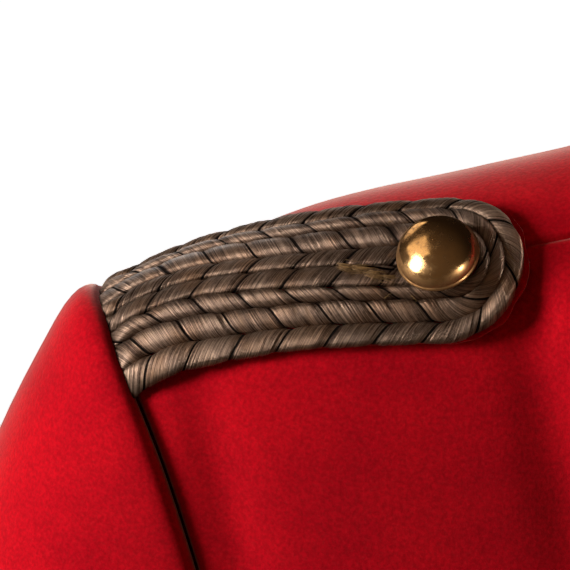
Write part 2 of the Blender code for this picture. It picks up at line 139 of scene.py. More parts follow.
def addLights():
    for name, turn, rise, distance, width, height, watts, colour, receiver in studio["lights"]:
        turn, rise = radians(turn), radians(rise)
        way = Vector((-sin(turn) * cos(rise), -cos(turn) * cos(rise), sin(rise)))
        data = bpy.data.lights.new(name, "AREA")
        data.shape = "RECTANGLE"
        data.size, data.size_y = width, height
        data.energy = watts
        data.color = toLinear(colour)[:3]
        lamp = bpy.data.objects.new(name, data)
        bpy.context.scene.collection.objects.link(lamp)
        lamp.location = Vector(studio["target"]) + way * distance
        aimAt(lamp, studio["target"])
        lamp.visible_camera = False
        if receiver:
            lamp.light_linking.receiver_collection = litGroups[receiver]
    world = bpy.data.worlds.new("studioFill")
    bpy.context.scene.world = world
    world.use_nodes = True
    tree = world.node_tree
    # the room is brighter to the left and in front, as beside a window
    sky = addNode(tree, "TexCoord").outputs["Generated"]
    brightWay = Vector(studio["fillWay"]).normalized()
    side = addNode(tree, "VectorMath", {"operation": "DOT_PRODUCT"}, {0: sky, 1: brightWay})
    dim, bright = studio["fillRange"]
    share = addNode(tree, "MapRange", {"interpolation_type": "SMOOTHSTEP"}, {
        "Value": side.outputs["Value"],
        1: dim,
        2: bright,
    })
    colour = addNode(tree, "Mix", {"data_type": "RGBA"}, {
        0: share.outputs[0],
        6: toLinear(studio["fillDark"]),
        7: toLinear(studio["fillBright"]),
    })
    background = tree.nodes["Background"]
    tree.links.new(colour.outputs[2], background.inputs["Color"])
    background.inputs["Strength"].default_value = studio["fillStrength"]
    bpy.context.scene.view_settings.view_transform = "Standard"


def addStage():
    # white paper floor with a wide round backdrop; both leave the light on the cloth alone
    paper, tree = newMaterial("whitePaper")
    place = addNode(tree, "TexCoord").outputs["Object"]
    flat = addNode(tree, "VectorMath", {"operation": "MULTIPLY"}, {0: place, 1: (1, 1, 0)})
    away = addNode(tree, "VectorMath", {"operation": "LENGTH"}, {0: flat.outputs[0]})
    near, far = studio["whiteFrom"]
    dim, full = studio["paperGlow"]
    glow = addNode(tree, "MapRange", {}, {"Value": away.outputs["Value"], 1: near, 2: far, 3: dim, 4: full})
    shader = addNode(tree, "BsdfPrincipled", {}, {
        "Base Color": toLinear("f4f4f2"),
        "Roughness": 0.9,
        "Emission Color": toLinear("ffffff"),
        "Emission Strength": glow.outputs[0],
    })
    addNode(tree, "OutputMaterial", {}, {"Surface": shader.outputs[0]})
    size, z = studio["floorSize"], studio["floorZ"]
    corners = [(-size, -size, z), (size, -size, z), (size, size, z), (-size, size, z)]
    floor = makePiece("floor", np.array(corners), [[0, 1, 2, 3]], paper, smooth=False)
    sides = studio["backdropSides"]
    turns = np.linspace(0, 2 * pi, sides + 1)[:-1]
    rings = []
    for height, reach in studio["backdropRings"]:
        rings.append(np.stack([reach * np.cos(turns), reach * np.sin(turns), np.full(sides, z + height)], -1))
    backdrop = makePiece("backdrop", np.concatenate(rings), tubeFaces(len(rings), sides), paper)
    for thing in (floor, backdrop):
        thing.visible_diffuse = False
        thing.visible_glossy = False
    backdrop.visible_shadow = False


# meshes


def makePiece(name, points, faces, material, smooth=True, quadMaterials=None, tones=None):
    mesh = bpy.data.meshes.new(name)
    faces = faces if isinstance(faces, list) else faces.tolist()
    mesh.from_pydata(np.asarray(points, float).tolist(), [], faces)
    for finish in material if isinstance(material, (list, tuple)) else [material]:
        mesh.materials.append(finish)
    if quadMaterials is not None:
        mesh.polygons.foreach_set("material_index", np.asarray(quadMaterials, np.int32))
    if tones is not None:
        layer = mesh.attributes.new("tone", "FLOAT", "POINT")
        layer.data.foreach_set("value", np.asarray(tones, np.float32))
    if smooth:
        mesh.shade_smooth()
    mesh.update()
    thing = bpy.data.objects.new(name, mesh)
    bpy.context.scene.collection.objects.link(thing)
    return thing


def tubeFaces(rings, sides):
    # quads between rings of points
    ring, side = np.meshgrid(np.arange(rings - 1), np.arange(sides), indexing="ij")
    after = (side + 1) % sides
    quads = [ring * sides + side, ring * sides + after, (ring + 1) * sides + after, (ring + 1) * sides + side]
    return np.stack(quads, -1).reshape(-1, 4)


def softNoise(points, size, seed, waves=14):
    # smooth seeded unevenness, about -1 to 1, with bumps of the given size in metres
    rng = np.random.default_rng(seed)
    ways = unit(rng.normal(size=(waves, points.shape[-1]))) * pi / size * rng.uniform(0.5, 1.3, (waves, 1))
    phases = rng.uniform(0, 2 * pi, waves)
    return np.sin(points @ ways.T + phases).sum(-1) / sqrt(waves)


def shellPiece(name, outer, normals, thickness, side, material):
    # a sheet of cloth with soft round edges between two grids of points
    rows, columns = outer.shape[:2]
    inner = outer - normals * thickness
    count = rows * columns
    grid = np.arange(count).reshape(rows, columns)
    quads = np.stack([grid[:-1, :-1], grid[:-1, 1:], grid[1:, 1:], grid[1:, :-1]], -1).reshape(-1, 4)
    rim = np.concatenate([grid[0], grid[1:, -1], grid[-1, -2::-1], grid[-2:0:-1, 0]])
    flatOuter, flatInner = outer.reshape(-1, 3), inner.reshape(-1, 3)
    inwards = np.concatenate([grid[1], grid[1:, -2], grid[-2, -2::-1], grid[-2:0:-1, 1]])
    middle = 0.5 * (flatOuter[rim] + flatInner[rim])
    away = unit(flatOuter[rim] - flatOuter[inwards] + 1e-9)
    middle = middle + away * 0.22 * thickness
    places = np.arange(len(rim))
    after = (places + 1) % len(rim)
    band = 2 * count + places
    bandAfter = 2 * count + after
    outerBand = np.stack([rim[after], rim, band, bandAfter], -1)
    innerBand = np.stack([bandAfter, band, count + rim, count + rim[after]], -1)
    faces = np.concatenate([quads, (count + quads)[:, ::-1], outerBand, innerBand])
    points = np.concatenate([flatOuter, flatInner, middle]) * side
    row, column = rows // 2, columns // 2
    across, upwards = outer[row, column + 1] - outer[row, column], outer[row + 1, column] - outer[row, column]
    turned = np.cross(across, upwards) @ normals[row, column] * side[0] < 0
    piece = makePiece(name, points, faces[:, ::-1] if turned else faces, material)
    litGroups["clothAndCords"].objects.link(piece)
    if name.endswith("left"):
        litGroups["leftHalf"].objects.link(piece)
    return piece


# the tunic's form

tunicForm = {
    # height, half width, depth in front of the side seams and behind them
    "sections": (
        (-0.700, 0.205, 0.145, 0.135),
        (-0.580, 0.195, 0.132, 0.130),
        (-0.400, 0.155, 0.118, 0.095),
        (-0.300, 0.170, 0.130, 0.108),
        (-0.220, 0.185, 0.138, 0.118),
        (-0.200, 0.190, 0.135, 0.118),
        (-0.120, 0.215, 0.104, 0.111),
        (-0.075, 0.240, 0.088, 0.099),
        (-0.030, 0.257, 0.0913, 0.0913),
        (0.080, 0.257, 0.0913, 0.0913),
    ),
    # distance from the middle, height of the shoulder ridge
    "ridge": (
        (0.000, 0.0600),
        (0.030, 0.0450),
        (0.055, 0.0180),
        (0.075, 0.0000),
        (0.110, -0.0102),
        (0.150, -0.0200),
        (0.184, -0.0345),
        (0.205, -0.0455),
        (0.212, -0.0500),
        (0.226, -0.0610),
    ),
    # turn about the shoulder in degrees, distance from the middle
    "armhole": (
        (0, 0.1900),
        (3, 0.1820),
        (8, 0.1750),
        (15, 0.1725),
        (25, 0.1765),
        (35, 0.1835),
        (45, 0.1900),
        (56, 0.1965),
        (64, 0.2010),
        (73, 0.2053),
        (82, 0.2080),
        (94, 0.2103),
        (106, 0.2103),
        (118, 0.2065),
        (130, 0.2000),
        (145, 0.1910),
        (158, 0.1845),
        (168, 0.1815),
        (176, 0.1840),
        (180, 0.1900),
    ),
    # distance from the middle, turn in degrees
    "frontNeck": (
        (0.000, 31.3),
        (0.015, 32.2),
        (0.030, 35.5),
        (0.045, 42.5),
        (0.056, 52.0),
        (0.064, 64.0),
        (0.068, 76.0),
    ),
    "backNeck": (
        (0.068, 76.0),
        (0.0675, 89.0),
        (0.062, 101.5),
        (0.050, 112.0),
        (0.030, 121.5),
        (0.000, 126.1),
    ),
    "power": 2.2,
    "underarm": -0.200,
    "hem": -0.700,
    "risePerRadian": 0.165,
    "shoulderSeam": 76,
}


def smoothTable(rows, column=1):
    # runs smoothly through one column of a table by its first column, with no overshoot
    knots = np.array([row[0] for row in rows], float)
    values = np.array([row[column] for row in rows], float)
    steps = np.diff(knots)
    slopes = np.diff(values) / steps
    before, after = slopes[:-1], slopes[1:]
    sameWay = before * after > 0
    total = np.where(sameWay, before + after, 1)
    tangents = np.empty(len(knots))
    tangents[0], tangents[-1] = slopes[0], slopes[-1]
    tangents[1:-1] = np.where(sameWay, 2 * before * after / total, 0)

    def at(place):
        place = np.clip(place, knots[0], knots[-1])
        i = np.clip(np.searchsorted(knots, place, side="right") - 1, 0, len(steps) - 1)
        t = (place - knots[i]) / steps[i]
        start = (1 + 2 * t) * (1 - t) ** 2 * values[i] + t * (1 - t) ** 2 * steps[i] * tangents[i]
        end = t * t * (3 - 2 * t) * values[i + 1] - t * t * (1 - t) * steps[i] * tangents[i + 1]
        return start + end

    return at


bodyHalf = smoothTable(tunicForm["sections"], 1)
bodyFront = smoothTable(tunicForm["sections"], 2)
bodyBack = smoothTable(tunicForm["sections"], 3)
ridgeZ = smoothTable(tunicForm["ridge"])
armholeX = smoothTable([(radians(turn), x) for turn, x in tunicForm["armhole"]])


def formHeight(x, fold):
    underarm = tunicForm["underarm"]
    rise = np.where(fold < 0, fold * tunicForm["risePerRadian"], (ridgeZ(abs(x)) - underarm) * np.sin(fold))
    return underarm + rise


def formPoint(x, turn):
    # the turn goes up the front, over the shoulder ridge at 90 degrees and down the back
    x, turn = np.broadcast_arrays(np.asarray(x, float), np.asarray(turn, float))
    inFront = turn < pi / 2
    fold = np.where(inFront, turn, pi - turn)
    z = formHeight(x, fold)
    depth = np.where(inFront, -bodyFront(z), bodyBack(z)) * np.where(fold < 0, 1, np.cos(fold))
    share = np.clip(abs(x) / bodyHalf(z), 0, 1)
    return np.stack([x, depth * (1 - share ** tunicForm["power"]) ** (1 / tunicForm["power"]), z], -1)


def formSlopes(x, turn, step=1e-5):
    alongX = formPoint(x + step, turn) - formPoint(x - step, turn)
    alongTurn = formPoint(x, turn + step) - formPoint(x, turn - step)
    return alongX / (2 * step), alongTurn / (2 * step)


def formNormal(x, turn):
    x, turn = np.broadcast_arrays(np.asarray(x, float), np.asarray(turn, float))
    fold = np.where(turn < pi / 2, turn, pi - turn)
    widest = 0.9999 * bodyHalf(formHeight(x, fold))
    alongX, alongTurn = formSlopes(np.sign(x) * np.minimum(abs(x), widest), turn)
    return unit(np.cross(alongX, alongTurn))


def turnAt(z):
    return (z - tunicForm["underarm"]) / tunicForm["risePerRadian"]


def pathFunction(x, turn):
    # (x, turn) by the share of the path's length on the form
    points = formPoint(x, turn)
    run = np.concatenate([[0], np.cumsum(np.linalg.norm(np.diff(points, axis=0), axis=1))])
    return lambda share: (np.interp(share * run[-1], run, x), np.interp(share * run[-1], run, turn))


def armholePath(startTurn, endTurn):
    turn = np.linspace(radians(startTurn), radians(endTurn), 400)
    return pathFunction(armholeX(turn), turn)


def neckPath(rows):
    across = smoothTable([(i, row[0]) for i, row in enumerate(rows)])
    turning = smoothTable([(i, radians(row[1])) for i, row in enumerate(rows)])
    places = np.linspace(0, len(rows) - 1, 200)
    return pathFunction(across(places), turning(places))


# the body's four panels

panelCut = {
    "edges": {"left": -0.022, "right": -0.020, "back": 0.0},
    "lapWidth": 0.0455,
    "lapLift": 0.0026,
    "lapDrop": radians(1),
    "lapAtNeck": (1.0, 1.0, 1.0, 0.6, 0.3, 0.1, 0.0),
    "thickness": 0.0019,
    # row places from 0 at the hem: underarm, top of the closed edge, neckline, shoulder seam
    "rowPlaces": (12, 18, 19, 24),
    "skirtRows": 54,
    "chestRows": 76,
    # the last rows, as places below the shoulder seam
    "topRows": (1, 0.84, 0.7, 0.57, 0.46, 0.36, 0.27, 0.2, 0.14, 0.09, 0.055, 0.03, 0.012, 0),
    "columns": 46,
    "samples": 180,
    # share of a front's samples that lies in the lap
    "lapShare": 0.1,
    # distances from a seam at which the cloth gets a line of points, for its turned edge
    "edgeSteps": (0.0, 0.0003, 0.0007, 0.0012, 0.0018, 0.0027, 0.0040, 0.0062),
    "seamDepth": 0.0011,
    "seamWidth": 0.0008,
    # how far from a side seam and from the shoulder seam the folds die away, and how far they keep clear of
    # the front's edge below and at the neck
    "foldSide": 0.012,
    "foldTop": 0.014,
    "foldClear": (0.03, 0.003),
    # slow unevenness of the cloth: height, size, the level below which it begins, quiet width at the edges
    "waviness": 0.0006,
    "waveSize": 0.05,
    "wavesBelow": -0.1,
    "waveFade": 0.08,
    "quietWidth": 0.02,
}
# soft folds: front or back, start (x, z), end (x, z), depth, width, bend
bodyFolds = (
    ("front", (0.185, -0.205), (0.110, -0.120), 0.0030, 0.012, 0.010),
    ("front", (0.188, -0.225), (0.090, -0.215), 0.0022, 0.011, -0.012),
    ("front", (0.150, -0.395), (0.050, -0.375), 0.0026, 0.010, 0.006),
    ("front", (0.148, -0.425), (0.060, -0.440), 0.0024, 0.010, -0.006),
    ("front", (0.100, -0.460), (0.115, -0.690), 0.0050, 0.018, 0.008),
    ("front", (0.165, -0.470), (0.180, -0.695), 0.0042, 0.014, -0.006),
    ("front", (0.045, -0.540), (0.050, -0.695), 0.0030, 0.016, 0.004),
    ("front", (0.0980, 0.012), (0.068, -0.095), -0.0042, 0.0085, 0.0),
    ("front", (0.1890, -0.046), (0.1600, -0.140), 0.0024, 0.0090, 0.0),
    ("back", (0.180, -0.205), (0.115, -0.130), 0.0032, 0.013, 0.012),
    ("back", (0.180, -0.240), (0.080, -0.230), 0.0024, 0.012, -0.012),
    ("back", (0.150, -0.390), (0.040, -0.380), 0.0026, 0.011, 0.006),
    ("back", (0.145, -0.420), (0.050, -0.435), 0.0026, 0.010, -0.006),
    ("back", (0.055, -0.450), (0.065, -0.695), 0.0055, 0.018, 0.006),
    ("back", (0.130, -0.460), (0.150, -0.695), 0.0050, 0.018, 0.008),
)


def trough(ratio):
    # section of a soft fold by distance over width: a hollow with a low ridge beside it
    return np.exp(-(ratio**2)) - 0.45 * np.exp(-((ratio - 1.9) ** 2))


def foldDepth(points, folds, face):
    # how far soft troughs take the cloth in, each with low ridges beside it
    total = np.zeros(points.shape[:-1])
    place = np.stack([abs(points[..., 0]), points[..., 2]], -1)
    for number, (where, start, end, depth, width, bend) in enumerate(folds):
        if where != face:
            continue
        start, end = np.array(start), np.array(end)
        way = end - start
        length = np.linalg.norm(way)
        way = way / length
        side = np.array([-way[1], way[0]])
        along = (place - start) @ way / length
        off = (place - start) @ side - bend * np.sin(pi * np.clip(along, 0, 1))
        off = off + 0.25 * width * softNoise(points, 0.06, 40 + number)
        spread = width * (0.8 + 0.35 * np.clip(along, 0, 1))
        fade = np.clip(np.minimum((along + 0.1) / 0.35, (1.15 - along) / 0.45), 0, 1)
        fade = fade * fade * (3 - 2 * fade)
        total += depth * fade * trough(off / spread)
    return total


def panelLines(edgeX, back, v):
    # middle and side edges at the row places v
    underarm, closed, neck, top = panelCut["rowPlaces"]
    seam = tunicForm["shoulderSeam"]
    z = np.interp(v, [0, underarm], [tunicForm["hem"], tunicForm["underarm"]])
    skirtTurn = pi - turnAt(z) if back else turnAt(z)
    inSkirt = v <= underarm
    upper = np.clip((v - underarm) / (top - underarm), 0, 1)
    if back:
        neckX, neckTurn = neckPath(tunicForm["backNeck"])(1 - np.clip((v - closed) / (top - closed), 0, 1))
        holeX, holeTurn = armholePath(seam, 180)(1 - upper)
        edgeTop = radians(tunicForm["backNeck"][-1][1])
        edgeTurn = np.interp(v, [underarm, closed], [pi, edgeTop])
        middleX = np.where(v <= closed, edgeX, neckX)
        middleTurn = np.where(v <= closed, edgeTurn, neckTurn)
    else:
        neckX, neckTurn = neckPath(tunicForm["frontNeck"])(np.clip((v - neck) / (top - neck), 0, 1))
        holeX, holeTurn = armholePath(0, seam)(upper)
        edgeTop = radians(tunicForm["frontNeck"][0][1])
        edgeTurn = np.interp(v, [underarm, closed, neck], [0, edgeTop - panelCut["lapDrop"], edgeTop])
        edgeLine = np.interp(v, [closed, neck], [edgeX, 0])
        middleX = np.where(v <= neck, edgeLine, neckX)
        middleTurn = np.where(v <= neck, edgeTurn, neckTurn)
    middleTurn = np.where(inSkirt, skirtTurn, middleTurn)
    sideX = np.where(inSkirt, bodyHalf(z), holeX)
    sideTurn = np.where(inSkirt, skirtTurn, holeTurn)
    return middleX, middleTurn, sideX, sideTurn


def panelShares(v, width, back):
    # how far each sample lies across its row, and how far it has turned there; the front's edge is lapped
    cut = panelCut
    _, closed, _, top = cut["rowPlaces"]
    past = np.clip(v - closed, 0, top - closed)
    lap = 0 * v if back else np.interp(past, range(7), cut["lapAtNeck"])
    u = np.linspace(0, 1, cut["samples"] + 1)
    lapU = cut["lapShare"]
    atEdge = round(cut["samples"] * lapU)
    start = cut["lapWidth"] / width
    plain = np.sin(u * pi / 2)
    pastLap = np.clip(u - lapU, 0, 1) / (1 - lapU)
    lapped = np.where(u < lapU, start * u / lapU, start + (1 - start) * np.sin(pastLap * pi / 2))
    shares = plain + (lapped - plain) * lap[:, None]
    atLap = plain[atEdge] + (start - plain[atEdge]) * lap[:, None]
    level = np.maximum(shares - atLap, 0) / (1 - atLap)
    rises = shares if back else level + (shares - level) * np.clip(past, 0, 1)[:, None]
    return u, lap, shares, rises


def panelGrid(edgeX, back=False, lift=0.0):
    # outer points and normals of a panel on the +X side, with its sewn edges turned in and its folds
    cut = panelCut
    underarm, closed, neck, top = cut["rowPlaces"]
    lower = np.linspace(0, underarm, cut["skirtRows"] + 1)[:-1]
    upper = np.linspace(underarm, top - 1, cut["chestRows"] + 1)[:-1]
    v = np.concatenate([lower, upper, top - np.array(cut["topRows"])])
    middleX, middleTurn, sideX, sideTurn = panelLines(edgeX, back, v)
    width = (sideX - middleX)[:, None]
    u, lap, shares, rises = panelShares(v, width, back)
    x = middleX[:, None] + width * shares
    turn = middleTurn[:, None] + (sideTurn - middleTurn)[:, None] * rises
    dense = formPoint(x, turn)
    run = np.linalg.norm(np.diff(dense, axis=1), axis=2).cumsum(axis=1)
    run = np.concatenate([np.zeros((len(v), 1)), run], axis=1)
    edge = np.array(cut["edgeSteps"])
    between = np.linspace(0, 1, cut["columns"] + 2)[1:-1]
    fineX, fineTurn, fineLift, fromMiddle, fromSide = [], [], [], [], []
    for row in range(len(v)):
        total = run[row, -1]
        inside = edge[-1] + (total - 2 * edge[-1]) * between
        places = np.concatenate([edge, inside, total - edge[::-1]])
        fineX.append(np.interp(places, run[row], x[row]))
        fineTurn.append(np.interp(places, run[row], turn[row]))
        atU = np.interp(places, run[row], u)
        fineLift.append(lift * lap[row] * np.clip((2 * cut["lapShare"] - atU) / cut["lapShare"], 0, 1))
        fromMiddle.append(places)
        fromSide.append(total - places)
    x, turn = np.array(fineX), np.array(fineTurn)
    points, normals = formPoint(x, turn), formNormal(x, turn)
    fromMiddle, fromSide = np.array(fromMiddle), np.array(fromSide)
    fromTop = np.linalg.norm(points - points[-1:], axis=2)
    sewnMiddle = (v > closed)[:, None] | np.full(x.shape, back)
    groove = np.exp(-((fromSide / cut["seamWidth"]) ** 2)) + np.exp(-((fromTop / cut["seamWidth"]) ** 2))
    groove = np.minimum(groove + sewnMiddle * np.exp(-((fromMiddle / cut["seamWidth"]) ** 2)), 1)
    quiet = np.clip(np.minimum(np.minimum(fromSide, fromMiddle), fromTop) / cut["quietWidth"], 0, 1)
    folds = foldDepth(points, bodyFolds, "back" if back else "front")
    # the folds keep clear of the lap, less so towards the neck
    clear = np.interp(v, [closed - 1, neck], cut["foldClear"])[:, None]
    folds = folds * np.clip(fromSide / cut["foldSide"], 0, 1) * np.clip(fromTop / cut["foldTop"], 0, 1)
    folds = folds * np.clip((fromMiddle - clear) / (0.008 + 0.7 * clear), 0, 1)
    moved = np.array(fineLift) - cut["seamDepth"] * groove - folds
    low = np.clip((cut["wavesBelow"] - points[..., 2]) / cut["waveFade"], 0, 1)
    moved = moved + quiet * cut["waviness"] * softNoise(points, cut["waveSize"], 11 + back) * low
    return points + normals * moved[..., None], normals


# the sleeves

sleeveCut = {
    # height, centre x, centre y, half width, half depth, from the cuff to the upper arm
    "sections": (
        (-0.645, 0.3000, -0.0300, 0.0400, 0.0470),
        (-0.550, 0.2860, -0.0120, 0.0415, 0.0500),
        (-0.460, 0.2720, 0.0020, 0.0430, 0.0560),
        (-0.380, 0.2590, 0.0080, 0.0440, 0.0620),
        (-0.300, 0.2460, 0.0060, 0.0440, 0.0670),
        (-0.235, 0.2345, 0.0020, 0.0430, 0.0690),
    ),
    "tilt": radians(8.5),
    "startRise": radians(20),
    "capReach": (0.010, 0.018),
    "hangReach": (0.030, 0.090),
    "seamGap": 0.0001,
    "around": 96,
    "frontSeam": 32,
    "backSeam": 68,
    "capPlaces": (0, 0.004, 0.009, 0.016, 0.026, 0.038, 0.054, 0.075, 0.10, 0.13, 0.165, 0.205, 0.25, 0.30,
                  0.355, 0.415, 0.48, 0.55, 0.62, 0.70, 0.78, 0.86, 0.93),
    "hangRings": 46,
    "thickness": 0.0019,
    # distance from the armhole seam, how far the eased head stands out there
    "headRoll": (
        (0.0, -0.0010),
        (0.0005, 0.0006),
        (0.0013, 0.0026),
        (0.0028, 0.0038),
        (0.0045, 0.0038),
        (0.007, 0.0033),
        (0.012, 0.0023),
        (0.019, 0.0011),
        (0.027, 0.0004),
        (0.036, 0.0001),
        (0.050, 0.0),
    ),
    "seamDepth": 0.0010,
    "seamWidth": 0.0012,
    "foldRadius": 0.055,
    # slow unevenness of the cloth: height, size, quiet length at both ends, length over which it rises
    "waviness": 0.0007,
    "waveSize": 0.045,
    "quietEnds": 0.03,
    "waveRise": 0.09,
}
# soft folds: share of the way round the sleeve (0 outside, 0.25 front), height, length, depth, width, slant
sleeveFolds = (
    (0.30, -0.400, 0.13, 0.0036, 0.010, 0.020),
    (0.32, -0.432, 0.12, 0.0032, 0.010, -0.012),
    (0.27, -0.365, 0.10, 0.0022, 0.009, 0.030),
    (0.62, -0.270, 0.10, 0.0028, 0.011, -0.030),
    (0.05, -0.300, 0.10, 0.0016, 0.013, 0.040),
    (0.75, -0.420, 0.12, 0.0022, 0.012, 0.020),
    (0.20, -0.560, 0.10, 0.0020, 0.010, -0.016),
)


def sleeveRing(z, around):
    centreX, centreY, halfWidth, halfDepth = (smoothTable(sleeveCut["sections"], i)(z) for i in (1, 2, 3, 4))
    out = halfWidth * np.cos(around)
    x = centreX + out * cos(sleeveCut["tilt"])
    return np.stack([x, centreY + halfDepth * np.sin(around), z + out * sin(sleeveCut["tilt"])], -1)


def sleeveGrid():
    # rings from the armhole to the cuff, each from the shoulder seam down the front
    cut = sleeveCut
    count = cut["around"]
    half = np.linspace(0, 1, count // 2 + 1)
    seam = tunicForm["shoulderSeam"]
    frontX, frontTurn = armholePath(0, seam)(half)
    backX, backTurn = armholePath(seam, 180)(half)
    holeX = np.concatenate([frontX[::-1], backX[::-1][1:-1]])
    holeTurn = np.concatenate([frontTurn[::-1], backTurn[::-1][1:-1]])
    startWay = np.array([cos(cut["startRise"]), 0, sin(cut["startRise"])])
    start = formPoint(holeX, holeTurn) + startWay * cut["seamGap"]
    around = -2 * pi * np.arange(count) / count
    top = 0.5 + 0.5 * np.cos(around)
    heights = np.linspace(cut["sections"][-1][0], cut["sections"][0][0], cut["hangRings"] + 1)
    hang = [sleeveRing(z, around) for z in heights]
    hangWay = unit(hang[1].mean(axis=0) - hang[0].mean(axis=0))
    capReach, hangReach = cut["capReach"], cut["hangReach"]
    leave = (capReach[0] + (capReach[1] - capReach[0]) * top)[:, None] * startWay
    arrive = (hangReach[0] + (hangReach[1] - hangReach[0]) * top)[:, None] * hangWay
    rings = []
    for t in cut["capPlaces"]:
        leaving = (1 + 2 * t) * (1 - t) ** 2 * start + 3 * t * (1 - t) ** 2 * leave
        arriving = t * t * (3 - 2 * t) * hang[0] - 3 * t * t * (1 - t) * arrive
        rings.append(leaving + arriving)
    return np.array(rings + hang), top


def tubeNormals(rings):
    along = np.gradient(rings, axis=0)
    around = np.roll(rings, -1, axis=1) - np.roll(rings, 1, axis=1)
    normals = unit(np.cross(around, along))
    outwards = rings - rings.mean(axis=1, keepdims=True)
    return normals * np.sign((normals * outwards).sum(axis=(1, 2)))[:, None, None]


def addSleeves(side, sideName, wool):
    cut = sleeveCut
    rings, top = sleeveGrid()
    normals = tubeNormals(rings)
    run = np.linalg.norm(np.diff(rings, axis=0), axis=2).cumsum(axis=0)
    run = np.concatenate([np.zeros((1, rings.shape[1])), run])
    roll = smoothTable(cut["headRoll"])(run)
    roll = np.where(roll > 0, roll * (0.25 + 0.75 * top), roll)
    count = rings.shape[1]
    circle = np.arange(count) / count
    moved = roll
    girth = 2 * pi * cut["foldRadius"]
    for number, (turn, z, length, depth, width, slant) in enumerate(sleeveFolds):
        away = (circle - turn + 0.5) % 1 - 0.5
        along = away[None, :] * girth
        off = rings[..., 2] - z - slant * along / 0.06 + 0.3 * width * softNoise(rings, 0.05, 70 + number)
        fade = np.clip(1 - (along / (0.5 * length)) ** 2, 0, 1) ** 1.5
        moved = moved - depth * fade * trough(off / width)
    ends = np.clip(np.minimum(run, run[-1:] - run) / cut["quietEnds"], 0, 1)
    waves = softNoise(rings, cut["waveSize"], 19) * np.clip(run / cut["waveRise"] - 0.4, 0, 1)
    moved = moved + cut["waviness"] * ends * waves
    upper = np.arange(cut["backSeam"], count + cut["frontSeam"] + 1) % count
    under = np.arange(cut["frontSeam"], cut["backSeam"] + 1)
    for kind, columns in (("upper_sleeve", upper), ("under_sleeve", under)):
        points = rings[:, columns]
        step = np.linalg.norm(np.diff(points, axis=1), axis=2)
        fromStart = np.concatenate([np.zeros((len(points), 1)), step.cumsum(axis=1)], axis=1)
        fromEnd = fromStart[:, -1:] - fromStart
        groove = np.exp(-((np.minimum(fromStart, fromEnd) / cut["seamWidth"]) ** 2)) * cut["seamDepth"]
        outer = points + normals[:, columns] * (moved[:, columns] - groove)[..., None]
        # a hair's breadth between the sewn pieces
        outer[:, 0] += unit(outer[:, 1] - outer[:, 0]) * cut["seamGap"]
        outer[:, -1] += unit(outer[:, -2] - outer[:, -1]) * cut["seamGap"]
        name = f"{kind}_{sideName}"
        piece = shellPiece("wool_" + name, outer, normals[:, columns], cut["thickness"], side, wool)
        wearCloth(piece, name)


def wearCloth(piece, node):
    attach(piece, "root")
    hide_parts(node)


# the stand collar

collarCut = {
    "height": 0.045,
    "lean": 0.13,
    "frontGap": 0.0015,
    "foot": -0.0018,
    "thickness": 0.0029,
    "rows": 14,
    "steps": 60,
    "wall": 0.003,
    "panelWall": 0.002,
    "bulge": 0.0005,
    "waviness": 0.0004,
}


def neckEdge(lift):
    # the panels' own neckline, from the middle of the front to the middle of the back
    half = collarCut["steps"]
    frontX, frontTurn = neckPath(tunicForm["frontNeck"])(np.linspace(0, 1, half + 1))
    backX, backTurn = neckPath(tunicForm["backNeck"])(np.linspace(0, 1, half + 1)[1:])
    lap = np.interp(np.linspace(1, 6, half + 1), range(7), panelCut["lapAtNeck"])
    front = formPoint(frontX, frontTurn) + formNormal(frontX, frontTurn) * (lift * lap)[:, None]
    edge = np.concatenate([front, formPoint(backX, backTurn)])
    edge[0, 0] += collarCut["frontGap"]
    return edge


def addCollar(wool):
    cut = collarCut
    left = neckEdge(panelCut["lapLift"])
    right = neckEdge(0.0)[:-1][::-1] * rightSide
    seam = np.concatenate([left, right])[::-1]
    middle = np.array([0, 0.5 * (seam[:, 1].min() + seam[:, 1].max()), 0])
    inwards = unit((middle - seam) * np.array([1, 1, 0]))
    upwards = unit(np.array([0, 0, 1]) + cut["lean"] * inwards)
    sideways = unit(np.gradient(seam, axis=0) * np.array([1, 1, 0]))
    outwards = unit(np.cross(sideways, upwards))
    heights = cut["foot"] + (cut["height"] - cut["foot"]) * np.linspace(0, 1, cut["rows"] + 1) ** 1.2
    outer = np.array([seam + upwards * height for height in heights])
    rise = np.linspace(0, 1, cut["rows"] + 1)
    bulge = cut["bulge"] * np.sin(pi * rise)[:, None]
    bulge = bulge + cut["waviness"] * softNoise(outer, 0.03, 5) * rise[:, None]
    outer += (0.5 * (cut["wall"] - cut["panelWall"]) + bulge[..., None]) * outwards
    normals = np.broadcast_to(outwards, outer.shape)
    piece = shellPiece("wool_collar", outer, normals, cut["thickness"], leftSide, wool)
    # kept out of the shoulder button's shine
    piece.visible_glossy = False
    wearCloth(piece, "collar")


# the shoulder boards

board = {
    "x": 0.122,
    "turn": 74.5,
    "skew": radians(3.5),
    "swing": 0.003,
    "swingStart": 0.064,
    "swingLength": 0.020,
    "swingLimit": 1.25,
    "walkSteps": 12,
    # spacing and reach of the grid of known places, along and across
    "mapStep": 0.001,
    "mapAlong": (-0.026, 0.106),
    "mapAcross": (-0.026, 0.0295),
    # left free between the board and the armhole seam
    "endGap": 0.0003,
}
# place along the board, then the edges of the legs' eight rows of cord from the front to the back, in mm
rowEdges = (
    (0, 20.2, 14.9, 9.3, 5.6, 0.5, -4.8, -10.8, -15.4, -18.6),
    (10, 20.2, 14.9, 9.3, 5.8, 0.5, -4.8, -10.9, -15.4, -18.6),
    (36, 20.2, 14.6, 8.8, 4.9, -0.3, -4.4, -10.2, -14.0, -18.3),
    (64, 21.2, 14.8, 8.6, 3.6, -1.2, -5.5, -11.2, -14.8, -17.8),
    (84, 22.4, 14.8, 8.0, 3.6, -1.2, -5.5, -11.0, -14.8, -17.8),
)
